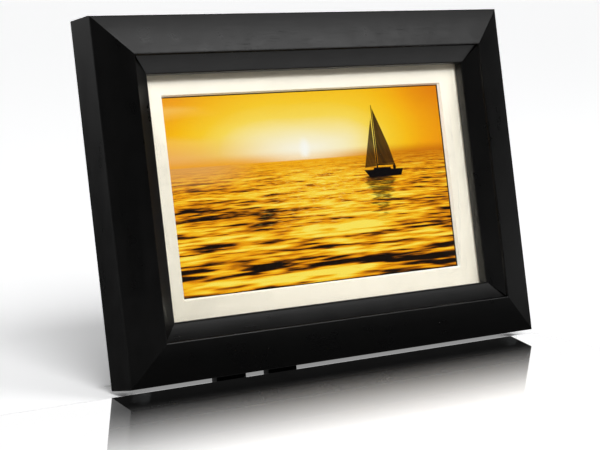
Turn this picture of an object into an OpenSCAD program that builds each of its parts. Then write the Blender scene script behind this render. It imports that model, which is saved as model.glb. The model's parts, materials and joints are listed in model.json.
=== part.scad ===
// Desktop digital photo frame. A mitred wooden moulding holds a glass pane, a mat and a seven-inch wide
// panel; an electronics housing with keys, ports and a fold-out forked leg closes the back.
// Millimetres, +Z up, the picture faces -Y. Everything is drawn upright and then leaned back on its feet.

/* [Moulding] */
// Outer width of the wooden frame
frame_w = 224; // [200:1:260]
// Outer height of the wooden frame
frame_h = 153; // [130:1:180]
// Thickness from the back to the outer front edge
edge_d = 15.4; // [12:0.2:20]
// Width of the moulding seen from the front
rail_w = 25; // [18:0.5:35]
// Distance of the ridge from the outer edge
ridge_inset = 16.7; // [10:0.1:22]
// How far the ridge stands in front of the outer edge
ridge_rise = 4.3; // [2:0.1:8]
// Depth of the small step just inside the ridge
ridge_step = 1.2; // [0.4:0.1:2.5]
// How far the inner edge of the bevel lies behind the outer front edge
bevel_drop = 0.8; // [0:0.1:3]
// Depth from the outer front edge to the glass
glass_drop = 5.5; // [4:0.1:8]
// Width of wood left behind the rebate
rebate_inset = 19; // [15:0.5:22]
// Angle the frame leans back
lean = 10.8; // [5:0.1:20]
// Height of the wooden back edge above the table
lift = 1.3; // [0.8:0.1:3]
// Radius of a clear bumper
bumper_r = 4; // [3:0.5:5]
// Distance of each bumper from the middle
bumper_x = 103; // [80:1:106]

/* [Glazing and mat] */
// Glass thickness
glass_t = 1.6; // [1.2:0.1:2]
// Mat board thickness
mat_t = 1.4; // [1:0.1:2]
// Width of the mat's window
window_w = 153.2; // [140:0.1:156]
// Height of the mat's window
window_h = 85; // [78:0.1:90]
// Thickness of the backing board
backing_t = 2.2; // [1.5:0.1:3]
// Gap around the glass, the mat and the backing board
pane_gap = 0.5; // [0.2:0.1:1]

/* [Panel] */
// Width of the panel's metal bezel
bezel_w = 166; // [160:1:170]
// Height of the panel's metal bezel
bezel_h = 100; // [96:1:106]
// Sheet thickness of the bezel
bezel_t = 0.3; // [0.2:0.05:0.5]
// Width of the glass cell
cell_w = 157.2; // [155:0.1:160]
// Height of the glass cell
cell_h = 94.4; // [90:0.1:97]
// Thickness of the glass cell
cell_t = 1.3; // [1:0.1:2]
// Thickness of the light guide
guide_t = 1.9; // [1.2:0.1:3]

/* [Housing] */
// Width of the housing's box
shell_w = 182; // [160:1:190]
// Height of the housing's box
shell_h = 113; // [100:1:118]
// Depth of the housing behind the wood
shell_d = 17; // [14:0.5:22]
// Wall thickness of the housing
wall = 2; // [1.6:0.1:3]
// Width of the housing's screw flange
flange_w = 202; // [194:1:208]
// Height of the housing's screw flange
flange_h = 131; // [122:1:138]
// Front face of the main board, behind the wood
board_y = 5; // [4:0.1:7]
// Thickness of the main board
board_t = 1.6; // [1:0.1:2]

/* [Leg] */
// Height of the hinge pin up the frame
pin_z = 112; // [90:1:120]
// Distance of the hinge pin behind the wood
pin_y = 23; // [22.5:0.1:26]
// Radius of the hinge pin
pin_r = 1.5; // [1:0.1:2]
// Angle between the open leg and the frame's back
open_angle = 18.5; // [12:0.5:30]
// Width of the leg at the hinge
leg_top_w = 41; // [30:1:46]
// Width of the leg at the feet
leg_foot_w = 46; // [36:1:60]
// Thickness of the leg
leg_t = 4; // [3:0.1:6]
// Width of the gap between the two feet
fork_w = 13; // [8:0.5:20]
// Length of the gap between the two feet
fork_l = 36; // [20:1:60]

/* [Keys and ports] */
// Sideways position of the key pad's centre
pad_x = -62; // [-66:1:-56]
// Height of the key pad's centre
pad_z = 92; // [86:1:98]
// Spacing of the arrow keys from the pad's centre
pad_pitch = 12; // [11:0.5:14]
// Radius of the middle key
middle_r = 4.6; // [4:0.1:5]
// Radius of an arrow key
arrow_r = 3.9; // [3:0.1:4.5]
// Radius of a corner key
corner_r = 3.2; // [2.5:0.1:3.8]
// How far a key stands out of the housing
key_proud = 1.2; // [0.8:0.1:2]
// Radius of the power inlet's centre pin
inlet_pin_r = 1; // [0.9:0.05:1.2]

/* [Hidden] */
$fn = 64;
part_gap = 0.35;
mid_z = frame_h / 2;
glass_front = -(edge_d - glass_drop);
mat_front = glass_front + glass_t;
panel_front = mat_front + mat_t;
cell_front = panel_front + bezel_t;
film_front = cell_front + cell_t;
film_t = 0.5;
guide_front = film_front + film_t;
reflector_front = guide_front + guide_t;
reflector_t = 0.2;
tray_front = reflector_front + reflector_t;
tray_t = 0.5;
pane_w = frame_w - 2 * rebate_inset - 2 * pane_gap;
pane_h = frame_h - 2 * rebate_inset - 2 * pane_gap;
bezel_z0 = mid_z - bezel_h / 2 - 1;
stack_w = 160;
stack_z0 = 32;
stack_h = 90.5;
board_back = board_y + board_t;
board_w = 175;
board_z0 = 62;
board_h = 67;
inner_y = shell_d - wall;
shell_z0 = mid_z - shell_h / 2;
screw_xs = [-97, 97];
screw_zs = [30, mid_z, frame_h - 30];
post_at = [[-83, 66], [-83, 124], [83, 124], [48, 67]];
bracket_y = shell_d + 1.2;
bracket_screw_at = [[-31, 107.5], [-31, 116.5], [31, 107.5], [31, 116.5]];
knuckle_r = 3.8;
leg_l = 104.5;
leg_front = -knuckle_r;
speaker_x = 70;
speaker_z = 42;
inlet_y = board_back + 3.9;
inlet_z = 76;
mid_y = 21.316;
black = [0.05, 0.05, 0.055];
dark = [0.12, 0.12, 0.13];
steel = [0.62, 0.63, 0.65];
green = [0.07, 0.25, 0.14];

// Leans an upright piece back and stands it on the table
module lean_back()
    translate([0, -mid_y, lift]) rotate([-lean, 0, 0]) children();

// Draws a piece in the leg's own frame: hinge pin along X at the origin, leg pointing down
module on_leg()
    lean_back() translate([0, pin_y, pin_z]) rotate([open_angle, 0, 0]) children();

// Everything above the table top
module above_table()
    intersection() {
        children();
        translate([-200, -200, 0]) cube([400, 400, 300]);
    }

// A box from its lowest corner to its highest corner
module span(a, b)
    translate(a) cube([b[0] - a[0], b[1] - a[1], b[2] - a[2]]);

// A cylinder pointing backwards from y0 to y1
module back_rod(x, z, r, y0, y1)
    translate([x, y0, z]) rotate([-90, 0, 0]) cylinder(r = r, h = y1 - y0);

// A cylinder along X from x0 to x1
module side_rod(x0, x1, y, z, r)
    translate([x0, y, z]) rotate([0, 90, 0]) cylinder(r = r, h = x1 - x0);

// A rectangle with round corners, standing from z0, between y0 and y1
module round_slab(w, z0, h, r, y0, y1)
    translate([0, y1, z0 + h / 2]) rotate([90, 0, 0]) linear_extrude(y1 - y0) union() {
        square([w - 2 * r, h], center = true);
        square([w, h - 2 * r], center = true);
        for (sx = [-1, 1], sz = [-1, 1])
            translate([sx * (w / 2 - r), sz * (h / 2 - r)]) circle(r = r);
    }

// The moulding's section, drawn along X with the outer edge down
module moulding(l)
    rotate([90, 0, 90]) translate([0, 0, -l / 2]) linear_extrude(l) polygon([
        [0, 0], [-edge_d + 0.5, 0], [-edge_d, 0.4],
        [-edge_d - ridge_rise + 0.2, ridge_inset - 0.5], [-edge_d - ridge_rise, ridge_inset],
        [-edge_d - ridge_rise + 0.1, ridge_inset + 0.3],
        [-edge_d - ridge_rise + ridge_step, ridge_inset + 0.5],
        [-edge_d + bevel_drop - 0.4, rail_w - 0.6], [-edge_d + bevel_drop, rail_w - 0.1],
        [-edge_d + bevel_drop + 0.5, rail_w], [glass_front, rail_w], [glass_front, rebate_inset],
        [0, rebate_inset]]);

// One mitred rail of length l, its outer edge down
module rail(l)
    intersection() {
        moulding(l);
        rotate([90, 0, 0]) linear_extrude(30) polygon([
            [-l / 2, 0], [l / 2, 0], [l / 2 - rail_w - 2, rail_w + 2], [-l / 2 + rail_w + 2, rail_w + 2]]);
    }

// The thin V-shaped joining nails, one across the back of each mitre
module nail_shapes()
    for (sx = [-1, 1], sz = [-1, 1])
        translate([sx * (frame_w / 2 - 11), 0, mid_z + sz * (mid_z - 11)])
            rotate([90, 0, 0]) linear_extrude(8)
                scale([-sx, -sz]) rotate([0, 0, 45])
                    polygon([[0, 0], [-2.2, 5], [-2.9, 5], [-0.7, 0], [-2.9, -5], [-2.2, -5]]);

// The holes the housing's screws cut
module screw_holes()
    for (x = screw_xs, z = screw_zs) back_rod(x, z, 1.3, -7, 3);

module placed_rail(angle, l, x, z)
    color(black) lean_back() difference() {
        translate([x, 0, z]) rotate([0, angle, 0]) rail(l);
        nail_shapes();
        screw_holes();
    }

module rail_bottom() placed_rail(0, frame_w, 0, 0);
module rail_top() placed_rail(180, frame_w, 0, frame_h);
module rail_left() placed_rail(90, frame_h, -frame_w / 2, mid_z);
module rail_right() placed_rail(-90, frame_h, frame_w / 2, mid_z);
module corner_nails() color(steel) lean_back() nail_shapes();

// A flat sheet centred on the picture
module sheet(w, h, y0, y1)
    span([-w / 2, y0, mid_z - h / 2], [w / 2, y1, mid_z + h / 2]);

module glass_pane()
    color([0.8, 0.88, 0.86, 0.3]) lean_back() sheet(pane_w, pane_h, glass_front, mat_front);

// The mat's window is cut with a bevel that opens towards the glass
module mat_board()
    color([0.95, 0.92, 0.83]) lean_back() difference() {
        sheet(pane_w, pane_h, mat_front, panel_front);
        hull() {
            sheet(window_w + 1.6, window_h + 1.6, mat_front - 0.2, mat_front - 0.1);
            sheet(window_w, window_h, panel_front - 0.2, panel_front + 0.2);
        }
    }

module lcd_bezel()
    color(steel) lean_back() difference() {
        span([-bezel_w / 2, panel_front, bezel_z0], [bezel_w / 2, -backing_t, bezel_z0 + bezel_h]);
        span([-bezel_w / 2 + bezel_t, cell_front, bezel_z0 + bezel_t],
            [bezel_w / 2 - bezel_t, 1, bezel_z0 + bezel_h - bezel_t]);
        sheet(window_w + 1.8, window_h + 2.4, panel_front - 1, cell_front + 1);
    }

module lcd_cell()
    color([0.95, 0.7, 0.2]) lean_back()
        span([-cell_w / 2, cell_front, 27.6], [cell_w / 2, film_front, 27.6 + cell_h]);

// One sheet of the backlight, behind the cell
module stack_sheet(y0, y1)
    lean_back() span([-stack_w / 2, y0, stack_z0], [stack_w / 2, y1, stack_z0 + stack_h]);

module optical_films() color([0.9, 0.9, 0.92]) stack_sheet(film_front, guide_front);
module light_guide() color([0.85, 0.92, 0.95]) stack_sheet(guide_front, reflector_front);
module reflector_sheet() color([0.97, 0.97, 0.97]) stack_sheet(reflector_front, tray_front);

// A narrow board with a row of light emitting chips facing up into the guide
module led_strip()
    color([0.95, 0.93, 0.7]) lean_back() {
        span([-78, guide_front, 29.3], [78, reflector_front, 30.1]);
        for (i = [-7:7])
            span([i * 10 - 1.6, guide_front + 0.2, 30.1], [i * 10 + 1.6, reflector_front - 0.2, 31.6]);
    }

module mid_frame()
    color([0.9, 0.9, 0.88]) lean_back() difference() {
        span([-bezel_w / 2 + 0.5, film_front, bezel_z0 + 0.5],
            [bezel_w / 2 - 0.5, tray_front, bezel_z0 + bezel_h - 0.5]);
        span([-80.3, -9, 29], [80.3, 1, 122.8]);
        span([-16, -9, 20], [16, 1, 29.1]);
    }

module lcd_tray()
    color(steel) lean_back() difference() {
        span([-bezel_w / 2 + 0.5, tray_front, bezel_z0 + 0.5],
            [bezel_w / 2 - 0.5, tray_front + tray_t, bezel_z0 + bezel_h - 0.5]);
        span([-16, -5, 20], [16, 1, 28.4]);
    }

module backing_board()
    color([0.45, 0.32, 0.2]) lean_back() difference() {
        sheet(pane_w, pane_h, -backing_t, 0);
        span([-17, -5, 25.6], [17, 1, 28.6]);
    }

// The ribbon from the cell's lower ledge, through the backing board and up to the main board
module flex_cable()
    color([0.75, 0.45, 0.12]) lean_back() translate([-15, 0, 0])
        rotate([90, 0, 90]) linear_extrude(30) polygon([
            [film_front, 29], [film_front, 27], [2, 27], [2, 60], [4, 62.6], [4, 64],
            [3.8, 64], [3.8, 62.7], [1.8, 60.1], [1.8, 27.2], [film_front + 0.2, 27.2],
            [film_front + 0.2, 29]]);

module main_board()
    color(green) lean_back() difference() {
        span([-board_w / 2, board_y, board_z0], [board_w / 2, board_back, board_z0 + board_h]);
        for (p = post_at) back_rod(p[0], p[1], 1.2, 0, 12);
    }

module flex_connector()
    color([0.9, 0.87, 0.8]) lean_back() difference() {
        span([-17, 3, 63], [17, board_y, 67.5]);
        span([-15.4, 3.7, 62], [15.4, 4.1, 64.2]);
    }

// The larger chips on the back of the board
module board_chips()
    color(dark) lean_back() {
        for (c = [[-5, 100, 20, 20, 1.4], [-6, 76, 22, 10, 1.1], [24, 97, 12, 18, 1.1],
                [28, 74, 8, 6, 1.5], [58, 110, 6, 5, 1.6], [-28, 74, 7, 7, 1.2]])
            span([c[0] - c[2] / 2, board_back, c[1] - c[3] / 2],
                [c[0] + c[2] / 2, board_back + c[4], c[1] + c[3] / 2]);
    }

module board_capacitors()
    color([0.15, 0.16, 0.3]) lean_back()
        for (p = [[-84, 84], [12, 70], [40, 120], [56, 118], [-36, 122], [-44, 70]])
            back_rod(p[0], p[1], 2.5, board_back, board_back + 5.4);

module coin_cell_holder()
    color(black) lean_back() difference() {
        back_rod(44, 88, 11.4, board_back, board_back + 3.4);
        back_rod(44, 88, 10.1, board_back + 0.6, board_back + 5);
        span([40, board_back + 1.6, 95], [48, board_back + 5, 101]);
    }

module coin_cell() color(steel) lean_back() back_rod(44, 88, 10, board_back + 0.6, board_back + 3.2);

// A pan-head screw driven towards +Y or -Y, with a cross recess
module screw(x, z, head_y, toward, shank_l, shank_r, head_r, head_h)
    translate([x, head_y, z]) rotate([toward * 90, 0, 0]) difference() {
        union() {
            cylinder(r = head_r, h = head_h);
            translate([0, 0, -shank_l]) cylinder(r = shank_r, h = shank_l);
        }
        for (a = [0, 90])
            rotate([0, 0, a]) translate([-head_r * 0.6, -0.25, head_h - 0.6])
                cube([head_r * 1.2, 0.5, 1]);
    }

module board_screws()
    color(steel) lean_back()
        for (p = post_at) screw(p[0], p[1], board_y, 1, 6, 1.2, 2.5, 1.2);

module card_socket()
    color(steel) lean_back() difference() {
        span([61, board_back, 66], [90.6, board_back + 3.2, 94]);
        span([64, board_back + 0.4, 67.8], [92, board_back + 2.8, 92.2]);
    }

module usb_host_socket()
    color(steel) lean_back() {
        difference() {
            span([76, board_back, 105.4], [90.6, board_back + 6, 118.6]);
            span([77, board_back + 0.5, 105.9], [92, board_back + 5.5, 118.1]);
        }
        span([77, board_back + 3.2, 106.8], [90, board_back + 5, 117.2]);
    }

module usb_mini_socket()
    color(steel) lean_back() {
        difference() {
            span([81, board_back, 97], [90.6, board_back + 3.9, 104.7]);
            span([82, board_back + 0.4, 97.4], [92, board_back + 3.5, 104.3]);
        }
        span([82, board_back + 1.5, 98.4], [90, board_back + 2.3, 103.3]);
    }

module dc_inlet()
    color(black) lean_back() difference() {
        span([-90.6, board_back, inlet_z - 4], [-77.5, board_back + 7.8, inlet_z + 4]);
        side_rod(-92, -81, inlet_y, inlet_z, 2.85);
        side_rod(-82, -79.5, inlet_y, inlet_z, 1.5);
    }

// The centre pin with its thicker root pressed into the inlet's body
module dc_inlet_pin()
    color(steel) lean_back() {
        side_rod(-89.5, -81, inlet_y, inlet_z, inlet_pin_r);
        side_rod(-81, -79.5, inlet_y, inlet_z, 1.5);
    }

module power_switch()
    color(steel) lean_back() difference() {
        span([-88.6, board_back, 87], [-82.6, board_back + 5, 101]);
        span([-90, board_back + 1, 88.5], [-84.6, board_back + 4, 99.5]);
    }

module speaker_baskets()
    color(dark) lean_back() for (s = [-1, 1]) difference() {
        back_rod(s * speaker_x, speaker_z, 14, 11.5, inner_y);
        back_rod(s * speaker_x, speaker_z, 12.6, 12.3, inner_y + 1);
    }

module speaker_magnets()
    color(steel) lean_back()
        for (s = [-1, 1]) back_rod(s * speaker_x, speaker_z, 8, 8.5, 11.5);

module speaker_cones()
    color([0.2, 0.19, 0.18]) lean_back() for (s = [-1, 1])
        translate([s * speaker_x, 12.3, speaker_z]) rotate([-90, 0, 0]) rotate_extrude()
            polygon([[0, 0], [4, 0], [12, 1.7], [12.4, 1.7], [12.4, 2.1], [11.8, 2.1], [3.8, 0.4], [0, 0.4]]);

module speaker_leads()
    color([0.6, 0.1, 0.08]) lean_back() for (s = [-1, 1]) {
        for (dx = [-2, 2])
            translate([s * speaker_x + dx, 9.6, speaker_z + 8]) cylinder(r = 0.5, h = 12, $fn = 24);
        span([s * speaker_x - 4, board_back, board_z0], [s * speaker_x + 4, board_back + 4.4, board_z0 + 3.5]);
    }

// Where each key sits and how large it is
function key_at(name) =
    name == "middle" ? [pad_x, pad_z, middle_r] :
    name == "up" ? [pad_x, pad_z + pad_pitch, arrow_r] :
    name == "down" ? [pad_x, pad_z - pad_pitch, arrow_r] :
    name == "left" ? [pad_x - pad_pitch, pad_z, arrow_r] :
    name == "right" ? [pad_x + pad_pitch, pad_z, arrow_r] :
    name == "menu" ? [pad_x - pad_pitch, pad_z + 17, corner_r] :
    [pad_x + pad_pitch, pad_z + 17, corner_r];

// A key: cap, the collar that keeps it in, and the stem over its contact on the board
module key(name)
    color(dark) lean_back() {
        k = key_at(name);
        back_rod(k[0], k[1], k[2], inner_y - 0.8, shell_d + key_proud);
        back_rod(k[0], k[1], k[2] + 1.1, inner_y - 1.4, inner_y - 0.4);
        back_rod(k[0], k[1], 2, board_back + 0.8, inner_y - 1.2);
    }

module key_middle() key("middle");
module key_up() key("up");
module key_down() key("down");
module key_left() key("left");
module key_right() key("right");
module key_menu() key("menu");
module key_back() key("back");

module power_slider()
    color(black) lean_back() {
        span([-88.2, board_back + 1.35, 89.5], [-85, board_back + 3.65, 94.5]);
        span([-92, board_back + 1.35, 91], [-88.1, board_back + 3.65, 93]);
        span([-93.2, board_back + 1, 90], [-91.4, board_back + 4, 94]);
    }

module rear_housing()
    color(dark) lean_back() difference() {
        union() {
            difference() {
                union() {
                    round_slab(flange_w, mid_z - flange_h / 2, flange_h, 5, 0, 2);
                    round_slab(shell_w, shell_z0, shell_h, 6, 1, shell_d);
                }
                round_slab(shell_w - 2 * wall, shell_z0 + wall, shell_h - 2 * wall, 4, -1, inner_y);
            }
            for (p = post_at) back_rod(p[0], p[1], 3, board_back, inner_y + 0.5);
            for (p = bracket_screw_at) back_rod(p[0], p[1], 2.8, 11, inner_y + 0.5);
        }
        for (p = post_at) back_rod(p[0], p[1], 1.2, board_back - 1, 11.2);
        for (p = bracket_screw_at) back_rod(p[0], p[1], 1.2, 10, shell_d + 1);
        screw_holes();
        for (n = ["middle", "up", "down", "left", "right", "menu", "back"])
            back_rod(key_at(n)[0], key_at(n)[1], key_at(n)[2] + part_gap, inner_y - 1, shell_d + 1);
        // sound and cooling slots
        for (s = [-1, 1], i = [-3:3])
            span([s * speaker_x + i * 3 - 0.8, inner_y - 1, speaker_z - sqrt(121 - 9 * i * i)],
                [s * speaker_x + i * 3 + 0.8, shell_d + 1, speaker_z + sqrt(121 - 9 * i * i)]);
        for (i = [0:9])
            span([40 + i * 4.4, inner_y - 1, 94], [42 + i * 4.4, shell_d + 1, 120]);
        // ports along the two sides
        span([88, board_back - 0.3, 65.7], [92, board_back + 3.5, 94.3]);
        span([88, board_back - 0.3, 105.1], [92, board_back + 6.3, 118.9]);
        span([88, board_back - 0.3, 96.7], [92, board_back + 4.2, 105]);
        span([-92, board_back - 0.3, inlet_z - 4.3], [-88, board_back + 8.1, inlet_z + 4.3]);
        span([-92, board_back + 0.8, 90.4], [-88, board_back + 4.2, 97.2]);
    }

module housing_screws()
    color(steel) lean_back()
        for (x = screw_xs, z = screw_zs) screw(x, z, 2, -1, 8.5, 1.3, 2.8, 1.3);

module hinge_bracket()
    color(black) lean_back() difference() {
        union() {
            round_slab(76, 102.5, 19, 2.5, shell_d, bracket_y);
            for (s = [-1, 1]) {
                side_rod(s * 21.75 - 0.75, s * 21.75 + 0.75, pin_y, pin_z, 4.4);
                span([s * 21.75 - 0.75, shell_d + 0.5, pin_z - 4.4], [s * 21.75 + 0.75, pin_y, pin_z + 4.4]);
            }
        }
        side_rod(-30, 30, pin_y, pin_z, pin_r);
        for (p = bracket_screw_at) back_rod(p[0], p[1], 1.2, shell_d - 1, bracket_y + 1);
    }

module bracket_screws()
    color(steel) lean_back()
        for (p = bracket_screw_at) screw(p[0], p[1], bracket_y, -1, 6.5, 1.2, 2.5, 1.2);

module hinge_pin()
    color(steel) lean_back() {
        side_rod(-22.5, 22.5, pin_y, pin_z, pin_r);
        side_rod(-23.9, -22.5, pin_y, pin_z, 2.6);
        side_rod(22.5, 23.9, pin_y, pin_z, 2.6);
    }

// A clear stick-on bumper under the bottom rail, flattened by the table
module bumper(x)
    color([0.85, 0.88, 0.9, 0.4]) above_table() lean_back()
        translate([x, -8, -7]) cylinder(r = bumper_r, h = 7);

module bumper_left() bumper(-bumper_x);
module bumper_right() bumper(bumper_x);

// The end of one prong, from z0 up
module prong_end(side, grow, z0, z1)
    span([side > 0 ? fork_w / 2 - grow : -leg_foot_w / 2 - grow, leg_front - grow, z0],
        [side > 0 ? leg_foot_w / 2 + grow : -fork_w / 2 + grow, leg_front + leg_t + grow, z1]);

module stand_leg()
    color(black) difference() {
        union() {
            on_leg() {
                side_rod(-leg_top_w / 2, leg_top_w / 2, 0, 0, knuckle_r);
                difference() {
                    translate([0, leg_front + leg_t, 0]) rotate([90, 0, 0]) linear_extrude(leg_t) polygon([
                        [-leg_top_w / 2, 0], [leg_top_w / 2, 0], [leg_foot_w / 2, -78], [leg_foot_w / 2, -leg_l],
                        [fork_w / 2, -leg_l], [fork_w / 2, -leg_l + fork_l], [-fork_w / 2, -leg_l + fork_l],
                        [-fork_w / 2, -leg_l], [-leg_foot_w / 2, -leg_l], [-leg_foot_w / 2, -78]]);
                    // the hollow side of the leg faces the frame
                    span([-leg_top_w / 2 + 3, leg_front - 1, -leg_l + fork_l + 4],
                        [leg_top_w / 2 - 3, leg_front + leg_t - 1.6, -7]);
                }
                // a stiffening rib down the middle of the hollow
                span([-1, leg_front, -leg_l + fork_l + 1], [1, leg_front + leg_t - 1, -5]);
            }
            // the heel that stops the leg against the bracket
            lean_back() translate([-leg_top_w / 2, 0, 0]) rotate([90, 0, 90]) linear_extrude(leg_top_w)
                polygon([[bracket_y + part_gap, pin_z + 3], [bracket_y + part_gap, pin_z + 8],
                    [pin_y - 2, pin_z + 8], [pin_y + 3, pin_z + 2.3], [pin_y, pin_z],
                    [pin_y - 3.4, pin_z + 0.6]]);
        }
        on_leg() side_rod(-30, 30, 0, 0, pin_r + 0.05);
    }

// Soft shoes on the two prongs
module leg_tips()
    color([0.1, 0.1, 0.1]) above_table() on_leg() for (side = [-1, 1]) difference() {
        prong_end(side, 0.6, -leg_l - 8, -leg_l + 6);
        prong_end(side, 0, -leg_l, -leg_l + 7);
    }

rail_top();
rail_bottom();
rail_left();
rail_right();
corner_nails();
glass_pane();
mat_board();
lcd_bezel();
lcd_cell();
optical_films();
light_guide();
reflector_sheet();
led_strip();
mid_frame();
lcd_tray();
backing_board();
flex_cable();
main_board();
flex_connector();
board_chips();
board_capacitors();
coin_cell_holder();
coin_cell();
board_screws();
card_socket();
usb_host_socket();
usb_mini_socket();
dc_inlet();
dc_inlet_pin();
power_switch();
speaker_baskets();
speaker_magnets();
speaker_cones();
speaker_leads();
rear_housing();
housing_screws();
hinge_bracket();
bracket_screws();
hinge_pin();
bumper_left();
bumper_right();
stand_leg();
leg_tips();
key_middle();
key_up();
key_down();
key_left();
key_right();
key_menu();
key_back();
power_slider();
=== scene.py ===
"""The looks of a desktop digital photo frame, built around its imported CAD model.

The wooden moulding, the housing, the stand, the keys and the screws are modelled here by hand and
stand for their CAD nodes. The glass, the mat, the panel and the electronics keep their CAD shapes
and are dressed with procedural finishes. Pieces are drawn upright in millimetres, with the picture
facing -Y and the back of the wood at y = 0, and are then leaned back onto the table.
"""

import json
import logging
import math
from contextlib import contextmanager
from dataclasses import dataclass
from enum import Enum
from typing import Callable, Iterator, Optional, Sequence, Union

import bmesh
import bpy
from mathutils import Matrix, Vector


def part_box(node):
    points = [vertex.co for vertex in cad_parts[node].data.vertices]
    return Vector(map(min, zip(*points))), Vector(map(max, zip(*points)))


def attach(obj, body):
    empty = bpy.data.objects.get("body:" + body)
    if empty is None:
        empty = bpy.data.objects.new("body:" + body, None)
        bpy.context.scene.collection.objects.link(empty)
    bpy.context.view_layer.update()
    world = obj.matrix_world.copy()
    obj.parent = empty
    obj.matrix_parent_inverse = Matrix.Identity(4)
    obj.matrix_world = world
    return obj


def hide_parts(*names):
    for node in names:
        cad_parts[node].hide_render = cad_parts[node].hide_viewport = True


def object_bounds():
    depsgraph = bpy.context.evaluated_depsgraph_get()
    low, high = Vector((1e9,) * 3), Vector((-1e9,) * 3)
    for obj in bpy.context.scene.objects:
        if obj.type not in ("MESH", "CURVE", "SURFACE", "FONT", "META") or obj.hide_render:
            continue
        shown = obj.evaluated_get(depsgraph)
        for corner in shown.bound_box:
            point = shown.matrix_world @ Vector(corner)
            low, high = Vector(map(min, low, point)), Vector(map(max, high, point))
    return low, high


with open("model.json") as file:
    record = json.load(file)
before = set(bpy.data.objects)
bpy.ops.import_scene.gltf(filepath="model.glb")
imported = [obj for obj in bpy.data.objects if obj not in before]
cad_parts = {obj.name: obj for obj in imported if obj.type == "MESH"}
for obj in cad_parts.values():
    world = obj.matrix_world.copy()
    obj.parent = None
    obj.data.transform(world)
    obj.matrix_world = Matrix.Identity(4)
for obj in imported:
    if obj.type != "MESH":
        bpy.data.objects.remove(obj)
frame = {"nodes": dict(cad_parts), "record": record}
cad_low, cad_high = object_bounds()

log = logging.getLogger("photo_frame")

MM = 0.001
Piece = bpy.types.Object
Socket = bpy.types.NodeSocket
Point = Sequence[float]
Colour = tuple[float, float, float, float]


def paint(code: str) -> Colour:
    """Reads a colour as a painter's hex code.

    Args:
        code: six hex digits with a leading hash, as shown on a screen.

    Returns:
        The linear red, green, blue and alpha that Blender mixes with.
    """
    parts = [int(code[i : i + 2], 16) / 255 for i in (1, 3, 5)]
    red, green, blue = [
        p / 12.92 if p <= 0.04045 else ((p + 0.055) / 1.055) ** 2.4 for p in parts
    ]
    return (red, green, blue, 1.0)


@dataclass(frozen=True)
class Stance:
    """How the upright drawing stands on the table.

    Attributes:
        lean: how far the frame leans back, in radians.
        rebate: width of wood behind the rebate, in millimetres.
    """

    lean: float = math.radians(10.8)
    rebate: float = 19.0

    def matrix(self) -> Matrix:
        """Returns the matrix from upright millimetres to the row frame.

        Returns:
            The matrix.
        """
        low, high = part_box("rail_bottom")
        foot = Vector((0, high.y - self.rebate * MM * math.sin(self.lean), low.z))
        turn = Matrix.Rotation(-self.lean, 4, "X")
        return Matrix.Translation(foot) @ turn @ Matrix.Scale(MM, 4)


TO_ROW = Stance().matrix()


def axis_turn(angle: float, axis: str) -> Matrix:
    """Returns a turn of so many degrees about X, Y or Z."""
    return Matrix.Rotation(math.radians(angle), 4, axis)


def at(x: float, y: float, z: float) -> Matrix:
    """Returns a plain move to a place in the upright drawing."""
    return Matrix.Translation((x, y, z))


# --------------------------------------------------------------------------- modelling by hand


def only(piece: Piece) -> None:
    """Selects one piece alone and makes it the active one.

    Args:
        piece: the piece to select.
    """
    bpy.ops.object.select_all(action="DESELECT")
    piece.select_set(True)
    bpy.context.view_layer.objects.active = piece


def take_all() -> None:
    """Selects all of the piece being edited."""
    bpy.ops.mesh.select_all(action="SELECT")


def begin(name: str, add: Callable[..., object], **sizes: object) -> Piece:
    """Adds a primitive to shape.

    Args:
        name: the piece's name.
        add: the operator that adds the primitive.
        **sizes: the operator's own settings.

    Returns:
        The new piece, active and selected alone.
    """
    bpy.ops.object.select_all(action="DESELECT")
    add(**sizes)
    piece = bpy.context.object
    piece.name = name
    piece.data.name = name
    return piece


@contextmanager
def editing(piece: Piece) -> Iterator[None]:
    """Opens a piece in edit mode with nothing selected, and closes it again.

    Args:
        piece: the piece to work on.

    Yields:
        Nothing, while the piece is open.
    """
    only(piece)
    bpy.ops.object.mode_set(mode="EDIT")
    bpy.ops.mesh.select_mode(type="VERT")
    bpy.ops.mesh.select_all(action="DESELECT")
    yield
    bpy.ops.object.mode_set(mode="OBJECT")


def pick_edges(
    piece: Piece,
    wanted: Callable[[Vector, Vector], bool],
    sharper_than: float = 20.0,
) -> None:
    """Selects edges by their two ends.

    Args:
        piece: the piece being edited.
        wanted: is given each edge's two ends, and says whether to take it.
        sharper_than: the least angle between an edge's faces, in degrees.
    """
    bpy.ops.mesh.select_mode(type="EDGE")
    mesh = bmesh.from_edit_mesh(piece.data)
    least = math.radians(sharper_than)
    for edge in mesh.edges:
        sharp = len(edge.link_faces) == 2 and edge.calc_face_angle(0.0) > least
        edge.select_set(sharp and wanted(edge.verts[0].co, edge.verts[1].co))
    bmesh.update_edit_mesh(piece.data)


def outline(name: str, corners: Sequence[Point]) -> Piece:
    """Draws a flat outline by extruding one vertex from corner to corner.

    Args:
        name: the piece's name.
        corners: the outline's corners, in order.

    Returns:
        The outline, as one open run of edges.
    """
    piece = begin(name, bpy.ops.mesh.primitive_plane_add, size=1)
    with editing(piece):
        take_all()
        bpy.ops.mesh.merge(type="CENTER")
        bpy.ops.transform.translate(value=corners[0])
        for here, there in zip(corners, corners[1:]):
            step = Vector(there) - Vector(here)
            bpy.ops.mesh.extrude_vertices_move(TRANSFORM_OT_translate={"value": step})
    return piece


def bar(name: str, corners: Sequence[Point], along: Point) -> Piece:
    """Fills an outline and pulls it into a solid bar.

    Args:
        name: the piece's name.
        corners: the outline's corners, in order.
        along: how far, and which way, the outline is pulled.

    Returns:
        The solid, with its faces pointing outwards.
    """
    piece = outline(name, corners)
    with editing(piece):
        take_all()
        bpy.ops.mesh.edge_face_add()
        bpy.ops.mesh.extrude_region_move(TRANSFORM_OT_translate={"value": along})
        face_outwards()
    return piece


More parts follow.
